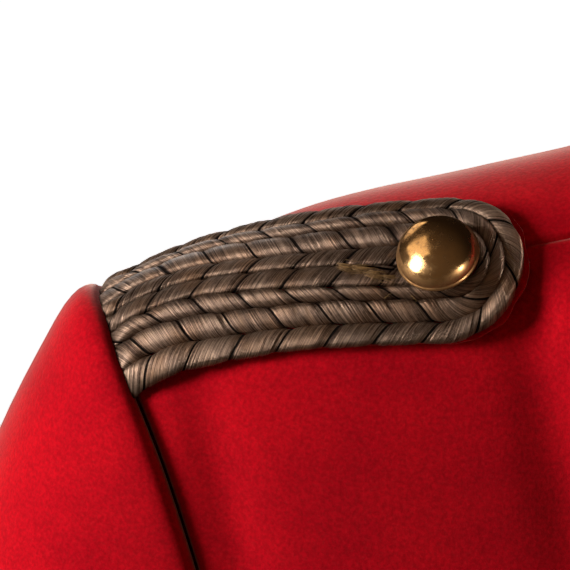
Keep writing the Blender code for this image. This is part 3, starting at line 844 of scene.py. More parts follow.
# each cord, from the innermost: distance from the board's middle and half width at the round end, the way it
# is twisted, and where a dark band crosses its front leg and its back leg, in mm
cordLay = (
    (6.4, 2.4, 1, 40.2, 37.0),
    (11.2, 1.75, -1, 38.0, 37.6),
    (14.6, 2.1, -1, 41.4, 34.6),
    (18.75, 2.5, 1, 41.8, 36.2),
)
cordMake = {
    "threads": 34,
    "pointsPerThread": 3,
    "step": 0.00072,
    "turnLength": 0.0128,
    "foot": 0.0013,
    "halfHeight": 0.00175,
    "flatness": 0.93,
    "squareness": 2.3,
    "overlap": 1.10,
    # the threads cross the crown steeply: points at the cord's edges slide along it
    "slide": 0.00062,
    "threadDepth": 0.00015,
    "strandGroove": 0.00042,
    "blackThreads": 2,
    "bandWidth": 5.0,
    # from a cord's crown to its middle as seen from the front
    "bandLean": radians(26),
    # each thread's own height and side wander in threads, changing over the given length
    "knotSpacing": 0.005,
    "threadHeight": 0.00005,
    "threadWander": 0.22,
    "lumpiness": 0.02,
    "lumpSize": 0.012,
    # at its ends a cord is pressed flatter and lower, and from a place on it follows the slanting seam
    "endFall": 0.007,
    "endPressed": 0.38,
    "endLowered": 0.4,
    "endSlide": 0.004,
    "endFrom": 0.070,
    # points round the end, points along a leg and where the leg begins
    "turnPoints": 241,
    "legPoints": 200,
    "legStart": 0.0003,
    # brightness of a thread from 0 to 1 and its spread; painted shade darkens the grooves and the strand
    # edges, and painted light brightens the round end
    "tone": 0.44,
    "toneSpread": 0.22,
    "paintedGrooveShade": 0.40,
    "paintedStrandShade": 0.14,
    "roundPaintedLight": 0.38,
}


def walk(x, turn, way, length):
    # straight on over the form, as a flat board bends
    for _ in range(board["walkSteps"]):
        alongX, alongTurn = formSlopes(x, turn)
        normal = unit(np.cross(alongX, alongTurn))
        way = unit(way - normal * (way * normal).sum(-1, keepdims=True))
        xx = (alongX * alongX).sum(-1)
        xt = (alongX * alongTurn).sum(-1)
        tt = (alongTurn * alongTurn).sum(-1)
        wx = (way * alongX).sum(-1)
        wt = (way * alongTurn).sum(-1)
        step = length / board["walkSteps"] / (xx * tt - xt * xt)
        x = x + (wx * tt - wt * xt) * step
        turn = turn + (wt * xx - wx * xt) * step
    return x, turn, way


def boardPlace(along, across):
    along, across = np.broadcast_arrays(np.asarray(along, float), np.asarray(across, float))
    past = (along - board["swingStart"]) / board["swingLength"]
    across = across + board["swing"] * np.clip(past, 0, board["swingLimit"]) ** 2
    way = np.broadcast_to(np.array([cos(board["skew"]), sin(board["skew"]), 0]), along.shape + (3,))
    x, turn = np.full(along.shape, board["x"]), np.full(along.shape, radians(board["turn"]))
    x, turn, way = walk(x, turn, way, along)
    toFront = np.cross(way, formNormal(x, turn))
    x, turn, _ = walk(x, turn, toFront * -np.sign(toFront[..., 1:2]), across)
    return x, turn


def boardMap():
    # the form under the board on a grid, so that fine points are found by interpolation
    along = np.arange(*board["mapAlong"], board["mapStep"])
    across = np.arange(*board["mapAcross"], board["mapStep"])
    x, turn = boardPlace(*np.meshgrid(along, across, indexing="ij"))
    return along, across, formPoint(x, turn), formNormal(x, turn), armholeX(turn) - x


mapAlong, mapAcross, mapPoints, mapNormals, mapGap = boardMap()


def boardEnd(across):
    # how far along the board the armhole seam cuts it
    ends = []
    for column in range(len(mapAcross)):
        gap = mapGap[:, column]
        cross = np.argmax(gap < 0)
        before, after = gap[cross - 1], gap[cross]
        ends.append(mapAlong[cross - 1] + board["mapStep"] * before / (before - after))
    return np.interp(across, mapAcross, ends)


def onBoard(along, across, lift):
    # point over the form at board coordinates: along to the sleeve, across to the front, lift off the cloth
    row = np.clip((along - mapAlong[0]) / board["mapStep"], 0, len(mapAlong) - 1.001)
    column = np.clip((across - mapAcross[0]) / board["mapStep"], 0, len(mapAcross) - 1.001)
    i, j = row.astype(int), column.astype(int)
    a, b = (row - i)[..., None], (column - j)[..., None]

    def blend(table):
        low = table[i, j] * (1 - b) + table[i, j + 1] * b
        high = table[i + 1, j] * (1 - b) + table[i + 1, j + 1] * b
        return low * (1 - a) + high * a

    return blend(mapPoints) + unit(blend(mapNormals)) * np.asarray(lift)[..., None]


def legLine(row, along):
    # middle and half width of a leg that lies in the given row of cord
    edges = []
    for edge in (row, row + 1):
        edges.append(smoothTable([(line[0] * mm, line[edge] * mm) for line in rowEdges])(along))
    return 0.5 * (edges[0] + edges[1]), 0.5 * (edges[0] - edges[1])


def cordLine(number):
    # a cord's middle line from the back leg's end round the button to the front leg's end, in even steps
    tip, tipHalf = cordLay[number - 1][0] * mm, cordLay[number - 1][1] * mm
    nearRow, farRow = 5 - number, 4 + number
    (near, nearHalf), (far, farHalf) = legLine(nearRow, 0.0), legLine(farRow, 0.0)
    heading = np.linspace(0, pi, cordMake["turnPoints"])
    front, back, tipShare = 0.5 - 0.5 * np.cos(heading), 0.5 + 0.5 * np.cos(heading), np.sin(heading) ** 2
    radius = (near * front - far * back) * (1 - tipShare) + tip * tipShare
    half = (nearHalf * front + farHalf * back) * (1 - tipShare) + tipHalf * tipShare
    lastPlace = rowEdges[-1][0] * mm
    legEnds = np.array([legLine(row, lastPlace)[0] for row in (farRow, nearRow)])
    farEnd, nearEnd = boardEnd(legEnds) - board["endGap"]
    count = cordMake["legPoints"]
    farLeg = np.linspace(farEnd, cordMake["legStart"], count)
    nearLeg = np.linspace(cordMake["legStart"], nearEnd, count)
    farMiddle, farWide = legLine(farRow, farLeg)
    nearMiddle, nearWide = legLine(nearRow, nearLeg)
    along = np.concatenate([farLeg, -radius * np.sin(heading), nearLeg])
    across = np.concatenate([farMiddle, -radius * np.cos(heading), nearMiddle])
    half = np.concatenate([farWide, half, nearWide]) * cordMake["overlap"]
    heading = np.concatenate([np.zeros(count), heading, np.full(count, pi)])
    run = np.concatenate([[0], np.hypot(np.diff(along), np.diff(across)).cumsum()])
    places = np.linspace(0, run[-1], int(run[-1] / cordMake["step"]) + 1)
    lines = [np.interp(places, run, values) for values in (along, across, half, heading)]
    return [line[:, None] for line in (*lines, places)]


def bandPhase(number, along, heading, turning):
    # turns the cord so that its dark band lies where wanted on each leg, easing between them round the end
    nearBand, farBand = cordLay[number - 1][3] * mm, cordLay[number - 1][4] * mm
    blackHalf = pi * cordMake["blackThreads"] / cordMake["threads"]
    wanted = []
    for band, leg, lean in ((farBand, heading == 0, -1), (nearBand, heading == pi, 1)):
        turnThere = turning[leg][np.argmin(abs(along[leg] - band))]
        wanted.append(pi / 2 + lean * cordMake["bandLean"] - turnThere - blackHalf)
    change = (wanted[1] - wanted[0] + pi) % (2 * pi) - pi
    return wanted[0] + change * (0.5 - 0.5 * np.cos(heading))


def addCord(number, side, sideName, finishes):
    make = cordMake
    twist = cordLay[number - 1][2]
    along, across, half, heading, run = cordLine(number)
    perThread = make["pointsPerThread"]
    sides = make["threads"] * perThread
    column = np.arange(sides)
    thread, part = column // perThread, column % perThread
    rng = np.random.default_rng(100 * number)
    # each thread's own height, side wander and brightness, changing slowly along the cord
    knots = np.linspace(0, run.max(), int(run.max() / make["knotSpacing"]) + 2)
    slow = []
    for chance in rng.normal(size=(3, len(knots), make["threads"])):
        slow.append(np.stack([np.interp(run[:, 0], knots, values) for values in chance.T], 1))
    height, wander, shine = (values[:, thread] for values in slow)
    crest = np.array([0.0, 1.0, 1.0])[part]
    black = thread < make["blackThreads"]
    fromBand = column / perThread - 0.5 * make["blackThreads"]
    fromBand = np.minimum(abs(fromBand), make["threads"] - fromBand)
    strand = np.exp(-((fromBand / make["bandWidth"]) ** 2))
    turning = twist * 2 * pi * run / make["turnLength"]
    phase = bandPhase(number, along, heading, turning)
    wandering = 2 * pi / make["threads"] * make["threadWander"] * wander
    angle = 2 * pi * column / sides + turning + phase + wandering
    ends = np.minimum(run, run.max() - run)
    fall = np.clip(1 - ends / make["endFall"], 0, 1) ** 2
    tall = make["halfHeight"] * (1 - make["endPressed"] * fall)
    depth = make["threadDepth"] * (1 - crest) + make["strandGroove"] * strand
    depth = depth + make["threadHeight"] * height * crest
    uneven = softNoise(np.concatenate([along, across], 1), make["lumpSize"], 7 * number)
    lump = 1 + make["lumpiness"] * uneven[:, None]
    # the threads run straight over a flattened crown and turn sharply at its sides
    flat, power = make["flatness"], make["squareness"]
    roundCos = np.arcsin(flat * np.cos(angle)) / np.arcsin(flat)
    roundSin = np.sign(np.sin(angle)) * (1 - abs(roundCos) ** power) ** (1 / power)
    lift = make["foot"] * (1 - make["endLowered"] * fall) + tall + (tall * lump - depth) * roundSin
    slid = run + twist * make["slide"] * np.clip(ends / make["endSlide"], 0, 1) * roundCos
    lines = (along, across, half, heading)
    along, across, half, heading = [np.interp(slid, run[:, 0], line[:, 0]) for line in lines]
    out = (half * lump - depth) * roundCos
    alongAt = along + np.sin(heading) * out
    acrossAt = across + np.cos(heading) * out
    # the cords' ends follow the slanting armhole seam
    start = make["endFrom"]
    stretch = (boardEnd(acrossAt) - start) / (boardEnd(across) - start)
    alongAt = np.where(alongAt > start, start + (alongAt - start) * stretch, alongAt)
    points = onBoard(alongAt, acrossAt, lift)
    tone = make["tone"] + make["toneSpread"] * shine
    # painted shade: darker in the grooves between threads and at the strand edges beside the dark bands
    tone = tone - make["paintedGrooveShade"] * (part == 0) - make["paintedStrandShade"] * strand
    # painted light: the round end is drawn brighter than the legs, for the light that reaches it
    tone = tone + make["roundPaintedLight"] * np.sin(heading) ** 2
    faces = tubeFaces(len(run), sides)
    material = np.zeros(len(faces), np.int32)
    material[np.tile(black, len(run) - 1)] = 1
    caps = [list(range(sides))[::-1], [(len(run) - 1) * sides + i for i in range(sides)]]
    faces = (faces if side[0] < 0 else faces[:, ::-1]).tolist() + caps
    name = f"board_cord_{number}_{sideName}"
    piece = makePiece("twisted_" + name, points.reshape(-1, 3) * side, faces, finishes,
                      quadMaterials=np.append(material, [0, 0]), tones=np.clip(tone, 0, 1).reshape(-1))
    for group in ("clothAndCords", "cords"):
        litGroups[group].objects.link(piece)
    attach(piece, "root")
    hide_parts(name)


underlayCut = {
    "nearLeg": 0.0197,
    "farLeg": 0.0184,
    "tip": 0.0225,
    "waviness": 0.00045,
    "waveSize": 0.004,
    "top": 0.0018,
    "thickness": 0.0013,
    "columns": 60,
    "rows": 110,
    "tipRows": 30,
}


def addUnderlay(side, sideName, felt):
    cut = underlayCut
    # rows of the outline from the tip to the armhole, back edge and front edge
    count = cut["tipRows"]
    heading = np.linspace(0, pi, 2 * count + 1)
    front, back, tipShare = 0.5 - 0.5 * np.cos(heading), 0.5 + 0.5 * np.cos(heading), np.sin(heading)
    radius = (cut["nearLeg"] * front + cut["farLeg"] * back) * (1 - tipShare) + cut["tip"] * tipShare
    # the hand-cut edge wavers round the tip only
    wave = cut["waviness"] * softNoise(np.stack([heading * 0.02, 0 * heading], -1), cut["waveSize"], 3)
    radius = radius + wave * np.clip(tipShare * 3, 0, 1)
    x, y = -radius * np.sin(heading), -radius * np.cos(heading)
    legs = np.linspace(0, 1, cut["rows"] - count)[1:]
    farEnd, nearEnd = boardEnd(np.array([-cut["farLeg"], cut["nearLeg"]])) - board["endGap"]
    backX = np.append(x[count::-1], farEnd * legs)
    backY = np.append(y[count::-1], np.full(len(legs), -cut["farLeg"]))
    frontX = np.append(x[count:], nearEnd * legs)
    frontY = np.append(y[count:], np.full(len(legs), cut["nearLeg"]))
    share = 0.5 - 0.5 * np.cos(np.linspace(0, pi, cut["columns"] + 1))
    along = backX[:, None] + (frontX - backX)[:, None] * share
    across = backY[:, None] + (frontY - backY)[:, None] * share
    outer = onBoard(along, across, np.full(along.shape, cut["top"]))
    inner = onBoard(along, across, np.full(along.shape, cut["top"] - cut["thickness"]))
    normals = unit(outer - inner + 1e-12)
    name = f"board_underlay_{sideName}"
    outer[0] = outer[0] + (outer[1] - outer[0]) * 0.02 * share[:, None]
    piece = shellPiece("felt_" + name, outer, normals, cut["thickness"], side, felt)
    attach(piece, "root")
    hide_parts(name)


# short loose threads on the boards, one piece a side: place along and across (mm), length, heading (degrees),
# bend, height of the middle over the cords, and how many lie together
looseThreads = (
    (-16.4, -4.2, 7.2, 130, 35, 0.5, 1),
    (12.2, 8.6, 1.6, 20, 70, 0.3, 2),
    (7.2, 9.2, 1.4, 150, -60, 0.3, 2),
    (-11.8, -1.0, 1.8, 80, 90, 0.3, 2),
    (13.2, -11.0, 1.3, 10, 60, 0.3, 2),
    (26.4, 0.2, 4.6, 166, 10, 0.22, 26),
    (22.6, 1.4, 4.6, 166, -8, 0.25, 26),
    (18.8, 2.6, 4.4, 166, -10, 0.25, 28),
    (15.0, 3.6, 3.8, 168, 12, 0.20, 22),
)
looseMake = {
    "radius": 0.00006,
    "sides": 5,
    "rings": 12,
    "spread": 0.0005,
    "rest": 0.00478,
    # how much threads that lie together differ: heading, shares of length, arch and radius, brightness
    "headingSpread": 0.16,
    "lengths": (0.7, 1.05),
    "arches": (0.5, 1.2),
    "radii": (0.8, 1.3),
    "tones": (0.0, 0.8),
    # a thread by itself is bright
    "aloneTone": 0.9,
    "taper": 0.6,
}
# where the board's buttonhole opens between the two middle rows: ends along and across in mm
slitMake = {
    "ends": ((21.2, 0.6), (11.6, 2.0)),
    "half": 0.00042,
    "lift": 0.0047,
    "rings": 30,
    "sides": 10,
}


def tubeAlong(line, radii, sides):
    # points of a round tube about a line of points, with its quads and end caps
    along = unit(np.gradient(line, axis=0))
    sideways = unit(np.cross(along, [0.0, 0.3, 1.0]))
    other = np.cross(along, sideways)
    turns = 2 * pi * np.arange(sides) / sides
    circle = np.cos(turns)[:, None, None] * sideways + np.sin(turns)[:, None, None] * other
    points = line[:, None] + circle.transpose(1, 0, 2) * np.asarray(radii)[:, None, None]
    last = (len(line) - 1) * sides
    caps = [list(range(sides))[::-1], [last + i for i in range(sides)]]
    return points.reshape(-1, 3), tubeFaces(len(line), sides), caps


def addLooseThreads(side, sideName, finish):
    rng = np.random.default_rng(9)
    allPoints, allFaces, allTones = [], [], []
    start = 0
    for along, across, length, heading, bend, arch, count in looseThreads:
        for _ in range(count):
            share = np.linspace(0, 1, looseMake["rings"])
            turn = radians(heading) + rng.normal() * looseMake["headingSpread"]
            turn = turn + radians(bend) * (share - 0.5)
            step = length * mm * rng.uniform(*looseMake["lengths"]) / (looseMake["rings"] - 1)
            offset = rng.normal(size=2) * looseMake["spread"] * min(count - 1, 1)
            alongAt = along * mm + offset[0] + (np.cos(turn) * step).cumsum()
            acrossAt = across * mm + offset[1] + (np.sin(turn) * step).cumsum()
            lift = looseMake["rest"] + arch * mm * np.sin(pi * share) * rng.uniform(*looseMake["arches"])
            line = onBoard(alongAt, acrossAt, lift)
            thinner = 1 - looseMake["taper"] * abs(2 * share - 1) ** 3
            radii = looseMake["radius"] * thinner * rng.uniform(*looseMake["radii"])
            points, quads, caps = tubeAlong(line, radii, looseMake["sides"])
            quads = quads.tolist() + caps
            allFaces += [[start + i for i in (face if side[0] < 0 else face[::-1])] for face in quads]
            allPoints.append(points * side)
            tone = rng.uniform(*looseMake["tones"]) if count > 4 else looseMake["aloneTone"]
            allTones.append(np.full(len(points), tone))
            start += len(points)
    piece = makePiece(f"loose_threads_{sideName}", np.concatenate(allPoints), allFaces, finish,
                      tones=np.concatenate(allTones))
    litGroups["clothAndCords"].objects.link(piece)
    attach(piece, "root")


def addSlit(side, sideName, finish):
    # the board's buttonhole: a black tube between two rows of cord, painted shade standing for the dark of
    # its opening
    (startAlong, startAcross), (endAlong, endAcross) = slitMake["ends"]
    half = slitMake["half"]
    share = np.linspace(0, 1, slitMake["rings"])
    along = (startAlong + (endAlong - startAlong) * share) * mm
    across = (startAcross + (endAcross - startAcross) * share) * mm
    line = onBoard(along, across, np.full(len(share), slitMake["lift"] - half))
    # narrow at both ends
    radii = half * np.sqrt(np.clip(1 - (2 * share - 1) ** 2, 0.01, 1))
    points, quads, caps = tubeAlong(line, radii, slitMake["sides"])
    faces = [face if side[0] < 0 else face[::-1] for face in quads.tolist() + caps]
    piece = makePiece(f"board_buttonhole_{sideName}", points * side, faces, finish)
    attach(piece, "root")


# the buttons

buttonTurning = {
    # radius and height in mm: shank, back plate, folded rim, dome
    "back": (
        (0.5, 0.0),
        (2.6, 0.0),
        (3.0, 0.5),
        (3.0, 1.2),
        (5.5, 1.3),
        (9.2, 1.35),
        (10.2, 1.45),
        (10.65, 1.7),
        (10.8, 2.1),
        (10.75, 2.5),
        (10.5, 2.8),
    ),
    "domeRadius": 10.45,
    "domeFoot": 2.85,
    "domeHeight": 6.6,
    "sides": 60,
    "rings": 32,
    "domeRings": 52,
    # share of the dome's radius where the tarnish starts, and over which it grows
    "tarnishFrom": 0.86,
    "tarnishWidth": 0.13,
    "lift": 0.0059,
    # a shoulder button leans back on its shank
    "lean": radians(7),
}


def addButton(name, foot, axis, side, metal):
    shape = buttonTurning
    rows = np.array(shape["back"]) * mm
    run = np.concatenate([[0], np.hypot(*np.diff(rows, axis=0).T).cumsum()])
    places = np.linspace(0, run[-1], shape["rings"])
    rise = np.linspace(0, pi / 2, shape["domeRings"])
    domeRadius = shape["domeRadius"] * mm
    domeHeight = (shape["domeFoot"] + shape["domeHeight"] * np.sin(rise)) * mm
    radius = np.append(smoothTable(list(zip(run, rows[:, 0])))(places), domeRadius * np.cos(rise))
    height = np.append(smoothTable(list(zip(run, rows[:, 1])))(places), domeHeight)
    sideways = unit(np.cross(axis, [1, 0, 0]))
    other = np.cross(axis, sideways)
    sides = shape["sides"]
    turns = 2 * pi * np.arange(sides) / sides
    circle = np.cos(turns)[:, None] * sideways + np.sin(turns)[:, None] * other
    radius = np.maximum(radius, 0.00002)
    rings = foot + axis * height[:, None, None] + circle * radius[:, None, None]
    faces = tubeFaces(len(rings), sides)
    faces = faces[:, ::-1] if side[0] < 0 else faces
    caps = [list(range(sides)), [(len(rings) - 1) * sides + i for i in range(sides)]]
    # tarnish gathers towards the rim, where it isn't rubbed
    tarnish = np.clip((radius / domeRadius - shape["tarnishFrom"]) / shape["tarnishWidth"], 0, 1)
    tarnish[: shape["rings"]] = 1.0
    tones = np.repeat(tarnish, sides)
    piece = makePiece("gilt_" + name, rings.reshape(-1, 3) * side, faces.tolist() + caps, metal, tones=tones)
    litGroups["giltWork"].objects.link(piece)
    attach(piece, "root")
    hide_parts(name)


def addShoulderButton(side, sideName, metal):
    x, turn = boardPlace(0.0, 0.0)
    axis = formNormal(x, turn)
    foot = formPoint(x, turn) + axis * buttonTurning["lift"]
    back, up = cos(buttonTurning["lean"]), sin(buttonTurning["lean"])
    leaning = np.array([axis[0], axis[1] * back + axis[2] * up, axis[2] * back - axis[1] * up])
    addButton(f"shoulder_button_{sideName}", foot, leaning, side, metal)


# finishes


def feltedWool(name, deep, bright, pile):
    # milled woollen cloth, raised and shorn: a matt ground of short matted hairs with a soft pale bloom at
    # its edges
    material, tree = newMaterial(name)
    place = addNode(tree, "TexCoord").outputs["Object"]
    # hairs about 0.03 mm thick are drawn as tufts of about 1 mm, so that they show
    nap = addNode(tree, "TexNoise", {}, {
        "Vector": place,
        "Scale": 1 / 0.0011,
        "Detail": 3.0,
        "Roughness": 0.6,
    })
    patch = addNode(tree, "TexNoise", {}, {
        "Vector": place,
        "Scale": 1 / 0.022,
        "Detail": 3.0,
        "Roughness": 0.55,
    })
    patchRange = addNode(tree, "MapRange", {}, {"Value": patch.outputs[0], 1: 0.35, 2: 0.68})
    napRange = addNode(tree, "MapRange", {}, {"Value": nap.outputs[0], 1: 0.34, 2: 0.68, 3: 0.80, 4: 1.20})
    # a few pale hair ends stand up out of the nap
    hairs = addNode(tree, "TexNoise", {}, {
        "Vector": place,
        "Scale": 1 / 0.0007,
        "Detail": 2.0,
        "Roughness": 0.7,
    })
    hairRange = addNode(tree, "MapRange", {}, {"Value": hairs.outputs[0], 1: 0.50, 2: 0.72, 3: 0.0, 4: 0.03})
    ground = addNode(tree, "Mix", {"data_type": "RGBA"}, {
        0: patchRange.outputs[0],
        6: toLinear(deep),
        7: toLinear(bright),
    })
    napped = addNode(tree, "VectorMath", {"operation": "SCALE"}, {
        0: ground.outputs[2],
        "Scale": napRange.outputs[0],
    })
    hairy = addNode(tree, "Mix", {"data_type": "RGBA"}, {
        0: hairRange.outputs[0],
        6: napped.outputs[0],
        7: toLinear("e8686c"),
    })
    bump = addNode(tree, "Bump", {}, {"Height": nap.outputs[0], "Strength": 0.45, "Distance": pile})
    shader = addNode(tree, "BsdfPrincipled", {}, {
        "Base Color": hairy.outputs[2],
        "Roughness": 0.92,
        "IOR": 1.5,
        "Specular IOR Level": 0.05,
        "Sheen Weight": 0.85,
        "Sheen Roughness": 0.31,
        "Sheen Tint": toLinear("ffe6dc"),
        "Normal": bump.outputs[0],
    })
    addNode(tree, "OutputMaterial", {}, {"Surface": shader.outputs[0]})
    return material


def tarnishedThread():
    # flat silvered-gilt wire spun round silk, browned with age; brighter where it crests, with painted shade
    # darkening the grooves and strand edges and painted light on the round end
    material, tree = newMaterial("tarnished_metal_thread")
    place = addNode(tree, "TexCoord").outputs["Object"]
    tone = addNode(tree, "Attribute", {"attribute_name": "tone"}).outputs["Fac"]
    # the wire's turns, 0.15 mm apart, are too fine to show and drawn as a glint of 0.7 mm
    glint = addNode(tree, "TexNoise", {}, {
        "Vector": place,
        "Scale": 1 / 0.0007,
        "Detail": 2.0,
        "Roughness": 0.6,
    })
    patch = addNode(tree, "TexNoise", {}, {"Vector": place, "Scale": 1 / 0.009, "Detail": 2.0})
    mixed = addNode(tree, "Math", {"operation": "MULTIPLY_ADD"}, {0: glint.outputs[0], 1: 0.4, 2: -0.2})
    level = addNode(tree, "Math", {"operation": "ADD", "use_clamp": True}, {0: tone, 1: mixed.outputs[0]})
    silver = addNode(tree, "Mix", {"data_type": "RGBA"}, {
        0: level.outputs[0],
        6: toLinear("35251d"),
        7: toLinear("b89f8c"),
    })
    warm = addNode(tree, "MapRange", {}, {"Value": patch.outputs[0], 1: 0.45, 2: 0.75, 3: 0.0, 4: 0.55})
    gold = addNode(tree, "Mix", {"data_type": "RGBA", "blend_type": "MULTIPLY"}, {
        0: warm.outputs[0],
        6: silver.outputs[2],
        7: toLinear("f0c890"),
    })
    bump = addNode(tree, "Bump", {}, {"Height": glint.outputs[0], "Strength": 0.4, "Distance": 0.00006})
    shader = addNode(tree, "BsdfPrincipled", {}, {
        "Base Color": gold.outputs[2],
        "Metallic": 0.72,
        "Roughness": 0.42,
        "Normal": bump.outputs[0],
    })
    addNode(tree, "OutputMaterial", {}, {"Surface": shader.outputs[0]})
    return material


def frayedThread():
    # fine gilt wire ends that have lost their twist: paler and more golden than the worn cords
    material, tree = newMaterial("frayed_gilt_thread")
    tone = addNode(tree, "Attribute", {"attribute_name": "tone"}).outputs["Fac"]
    colour = addNode(tree, "Mix", {"data_type": "RGBA"}, {
        0: tone,
        6: toLinear("5a4026"),
        7: toLinear("b8955f"),
    })
    shader = addNode(tree, "BsdfPrincipled", {}, {
        "Base Color": colour.outputs[2],
        "Metallic": 0.3,
        "Roughness": 0.45,
    })
    addNode(tree, "OutputMaterial", {}, {"Surface": shader.outputs[0]})
    return material


def silkThread(name, deep, bright, fibreSize, roughness, lustre):
    # twisted silk: its fibres vary a little in colour, and it shines softly along the thread
    material, tree = newMaterial(name)
    place = addNode(tree, "TexCoord").outputs["Object"]
    fibre = addNode(tree, "TexNoise", {}, {"Vector": place, "Scale": 1 / fibreSize, "Detail": 2.0})
    colour = addNode(tree, "Mix", {"data_type": "RGBA"}, {
        0: fibre.outputs[0],
        6: toLinear(deep),
        7: toLinear(bright),
    })
    shader = addNode(tree, "BsdfPrincipled", {}, {
        "Base Color": colour.outputs[2],
        "Roughness": roughness,
        "Specular IOR Level": lustre,
    })
    addNode(tree, "OutputMaterial", {}, {"Surface": shader.outputs[0]})
    return material


def giltBrass():
    # stamped brass, fire gilt and handled: smooth golden shine with brown tarnish in clouds and fine speckles
    material, tree = newMaterial("gilt_brass")
    place = addNode(tree, "TexCoord").outputs["Object"]
    cloud = addNode(tree, "TexNoise", {}, {
        "Vector": place,
        "Scale": 1 / 0.005,
        "Detail": 5.0,
        "Roughness": 0.62,
    })
    speck = addNode(tree, "TexNoise", {}, {
        "Vector": place,
        "Scale": 1 / 0.0012,
        "Detail": 3.0,
        "Roughness": 0.7,
    })
    cloudRange = addNode(tree, "MapRange", {}, {"Value": cloud.outputs[0], 1: 0.40, 2: 0.64})
    speckRange = addNode(tree, "MapRange", {}, {"Value": speck.outputs[0], 1: 0.50, 2: 0.72})
    both = addNode(tree, "Math", {"operation": "MULTIPLY"}, {
        0: cloudRange.outputs[0],
        1: speckRange.outputs[0],
    })
    dirt = addNode(tree, "Math", {"operation": "MULTIPLY_ADD", "use_clamp": True}, {
        0: cloudRange.outputs[0],
        1: 0.4,
        2: both.outputs[0],
    })
    colour = addNode(tree, "Mix", {"data_type": "RGBA"}, {
        0: dirt.outputs[0],
        6: toLinear("dcb078"),
        7: toLinear("7f5b3b"),
    })
    rim = addNode(tree, "Attribute", {"attribute_name": "tone"}).outputs["Fac"]
    uneven = addNode(tree, "MapRange", {}, {"Value": cloud.outputs[0], 1: 0.35, 2: 0.6, 3: 0.45, 4: 0.9})
    rimShare = addNode(tree, "Math", {"operation": "MULTIPLY"}, {0: rim, 1: uneven.outputs[0]})
    browned = addNode(tree, "Mix", {"data_type": "RGBA"}, {
        0: rimShare.outputs[0],
        6: colour.outputs[2],
        7: toLinear("6c4c30"),
    })
    gloss = addNode(tree, "MapRange", {}, {"Value": dirt.outputs[0], 3: 0.13, 4: 0.38})
    rough = addNode(tree, "Math", {"operation": "MULTIPLY_ADD"}, {
        0: rimShare.outputs[0],
        1: 0.42,
        2: gloss.outputs[0],
    })
    bump = addNode(tree, "Bump", {}, {"Height": cloud.outputs[0], "Strength": 0.15, "Distance": 0.0002})
    shader = addNode(tree, "BsdfPrincipled", {}, {
        "Base Color": browned.outputs[2],
        "Metallic": 1.0,
        "Roughness": rough.outputs[0],
        "Normal": bump.outputs[0],
    })
    addNode(tree, "OutputMaterial", {}, {"Surface": shader.outputs[0]})
    return material


# buttons and buttonholes down the front

frontButtons = {"count": 8, "topZ": -0.095, "bottomZ": -0.435, "lift": 0.0003}
buttonholeMake = {
    "start": -0.003,
    "end": 0.0245,
    "half": 0.00062,
    "radius": 0.00058,
    # stitches 0.6 mm wide lie side by side
    "stitch": 0.0006,
    "stepsPerStitch": 3,
    # share of the radius left between two stitches, how flat the twist lies, and how far its middle is raised
    "narrowed": 0.82,
    "flatness": 0.75,
    "raised": 0.25,
    "sides": 6,
}


def addButtonhole(name, turn, twist):
    # a worked buttonhole: close stitches of twist round the slit
    make = buttonholeMake
    length = make["end"] - make["start"]
    around = 2 * (length + pi * make["half"])
    steps = int(around / make["stitch"]) * make["stepsPerStitch"]
    place = around * np.arange(steps) / steps
    out = np.clip(place, 0, length) - np.clip(place - length - pi * make["half"], 0, length)
    inCurve = np.clip(place - length, 0, pi * make["half"]) / make["half"]
    backCurve = np.clip(place - 2 * length - pi * make["half"], 0, pi * make["half"]) / make["half"]
    across = -make["half"] * np.cos(inCurve + backCurve)
    x = make["start"] + out + make["half"] * (np.sin(inCurve) - np.sin(backCurve))
    slope = np.linalg.norm(formSlopes(0.0, turn)[1])
    line = formPoint(x, turn + across / slope)
    normal = formNormal(x, turn + across / slope)
    line = line + normal * (panelCut["lapLift"] + make["raised"] * make["radius"])
    nextLine = np.roll(line, -1, axis=0) - np.roll(line, 1, axis=0)
    sideways = unit(np.cross(nextLine, normal))
    phase = pi * np.arange(steps) / make["stepsPerStitch"]
    radius = make["radius"] * (make["narrowed"] + (1 - make["narrowed"]) * abs(np.sin(phase)))
    sides = make["sides"]
    turns = 2 * pi * np.arange(sides)[None, :, None] / sides
    flattened = np.cos(turns) * sideways[:, None] + make["flatness"] * np.sin(turns) * normal[:, None]
    points = line[:, None] + flattened * radius[:, None, None]
    faces = tubeFaces(steps, sides)
    last, first = (steps - 1) * sides + np.arange(sides), np.arange(sides)
    joining = np.stack([last, np.roll(last, -1), np.roll(first, -1), first], -1)
    faces = np.concatenate([faces, joining])
    outwards = np.cross(points[0, 1] - points[0, 0], points[1, 0] - points[0, 0]) @ (points[0, 0] - line[0])
    faces = faces if outwards > 0 else faces[:, ::-1]
    piece = makePiece("worked_" + name, points.reshape(-1, 3), faces, twist)
    litGroups["clothAndCords"].objects.link(piece)
    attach(piece, "root")


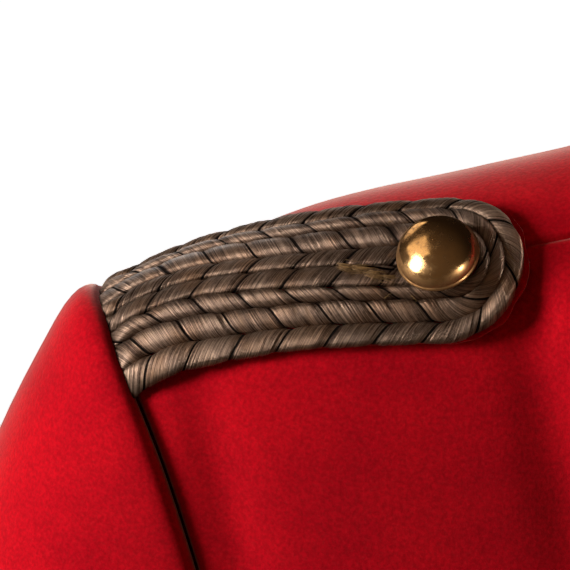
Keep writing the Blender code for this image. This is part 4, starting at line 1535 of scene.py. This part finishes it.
def addFrontButtons(metal, twist):
    top, underarm = float(ridgeZ(0)), tunicForm["underarm"]
    heights = np.linspace(frontButtons["topZ"], frontButtons["bottomZ"], frontButtons["count"])
    for number, z in enumerate(heights, 1):
        turn = turnAt(z) if z < underarm else np.arcsin((z - underarm) / (top - underarm))
        normal = formNormal(0.0, turn)
        foot = formPoint(0.0, turn) + normal * (panelCut["lapLift"] + frontButtons["lift"])
        addButton(f"front_button_{number}", foot, normal, leftSide, metal)
        addButtonhole(f"buttonhole_{number}", turn, twist)


def addPanel(kind, edge, lift, side, sideName, wool):
    points, normals = panelGrid(panelCut["edges"][edge], back=kind == "back", lift=lift)
    piece = shellPiece(f"wool_{kind}_{sideName}", points, normals, panelCut["thickness"], side, wool)
    wearCloth(piece, f"{kind}_{sideName}")


addCamera()
addLights()
addStage()
print("camera, lights and floor are set")

scarletWool = feltedWool("scarlet_felted_wool", "b4041a", "c4081c", 0.0002)
# painted light: this felt is lighter at its bright end than the coat's wool, to lift its lip out of the
# cords' shade
underlayFelt = feltedWool("red_underlay_felt", "b00618", "cc0c22", 0.0002)
# laid in with the metal threads: soft, near black with a faint shine
blackSilk = silkThread("black_silk_thread", "050404", "130e0b", 0.0006, 0.8, 0.06)
# hard twisted for buttonholes: scarlet with a low lustre along its stitches
scarletTwist = silkThread("scarlet_silk_twist", "8c0612", "d01c2c", 0.0005, 0.5, 0.35)
threadFinishes = [tarnishedThread(), blackSilk]
frayed = frayedThread()
gilt = giltBrass()
print("finishes are made")

for sideName, side in (("left", leftSide), ("right", rightSide)):
    lift = panelCut["lapLift"] if sideName == "left" else 0.0
    addPanel("front", sideName, lift, side, sideName, scarletWool)
    addPanel("back", "back", 0.0, side, sideName, scarletWool)
    addSleeves(side, sideName, scarletWool)
    addUnderlay(side, sideName, underlayFelt)
    for number in range(1, 5):
        addCord(number, side, sideName, threadFinishes)
    addLooseThreads(side, sideName, frayed)
    addSlit(side, sideName, blackSilk)
    addShoulderButton(side, sideName, gilt)
    print(f"{sideName} side is dressed")
addCollar(scarletWool)
addFrontButtons(gilt, scarletTwist)
print("collar and front buttons are on")
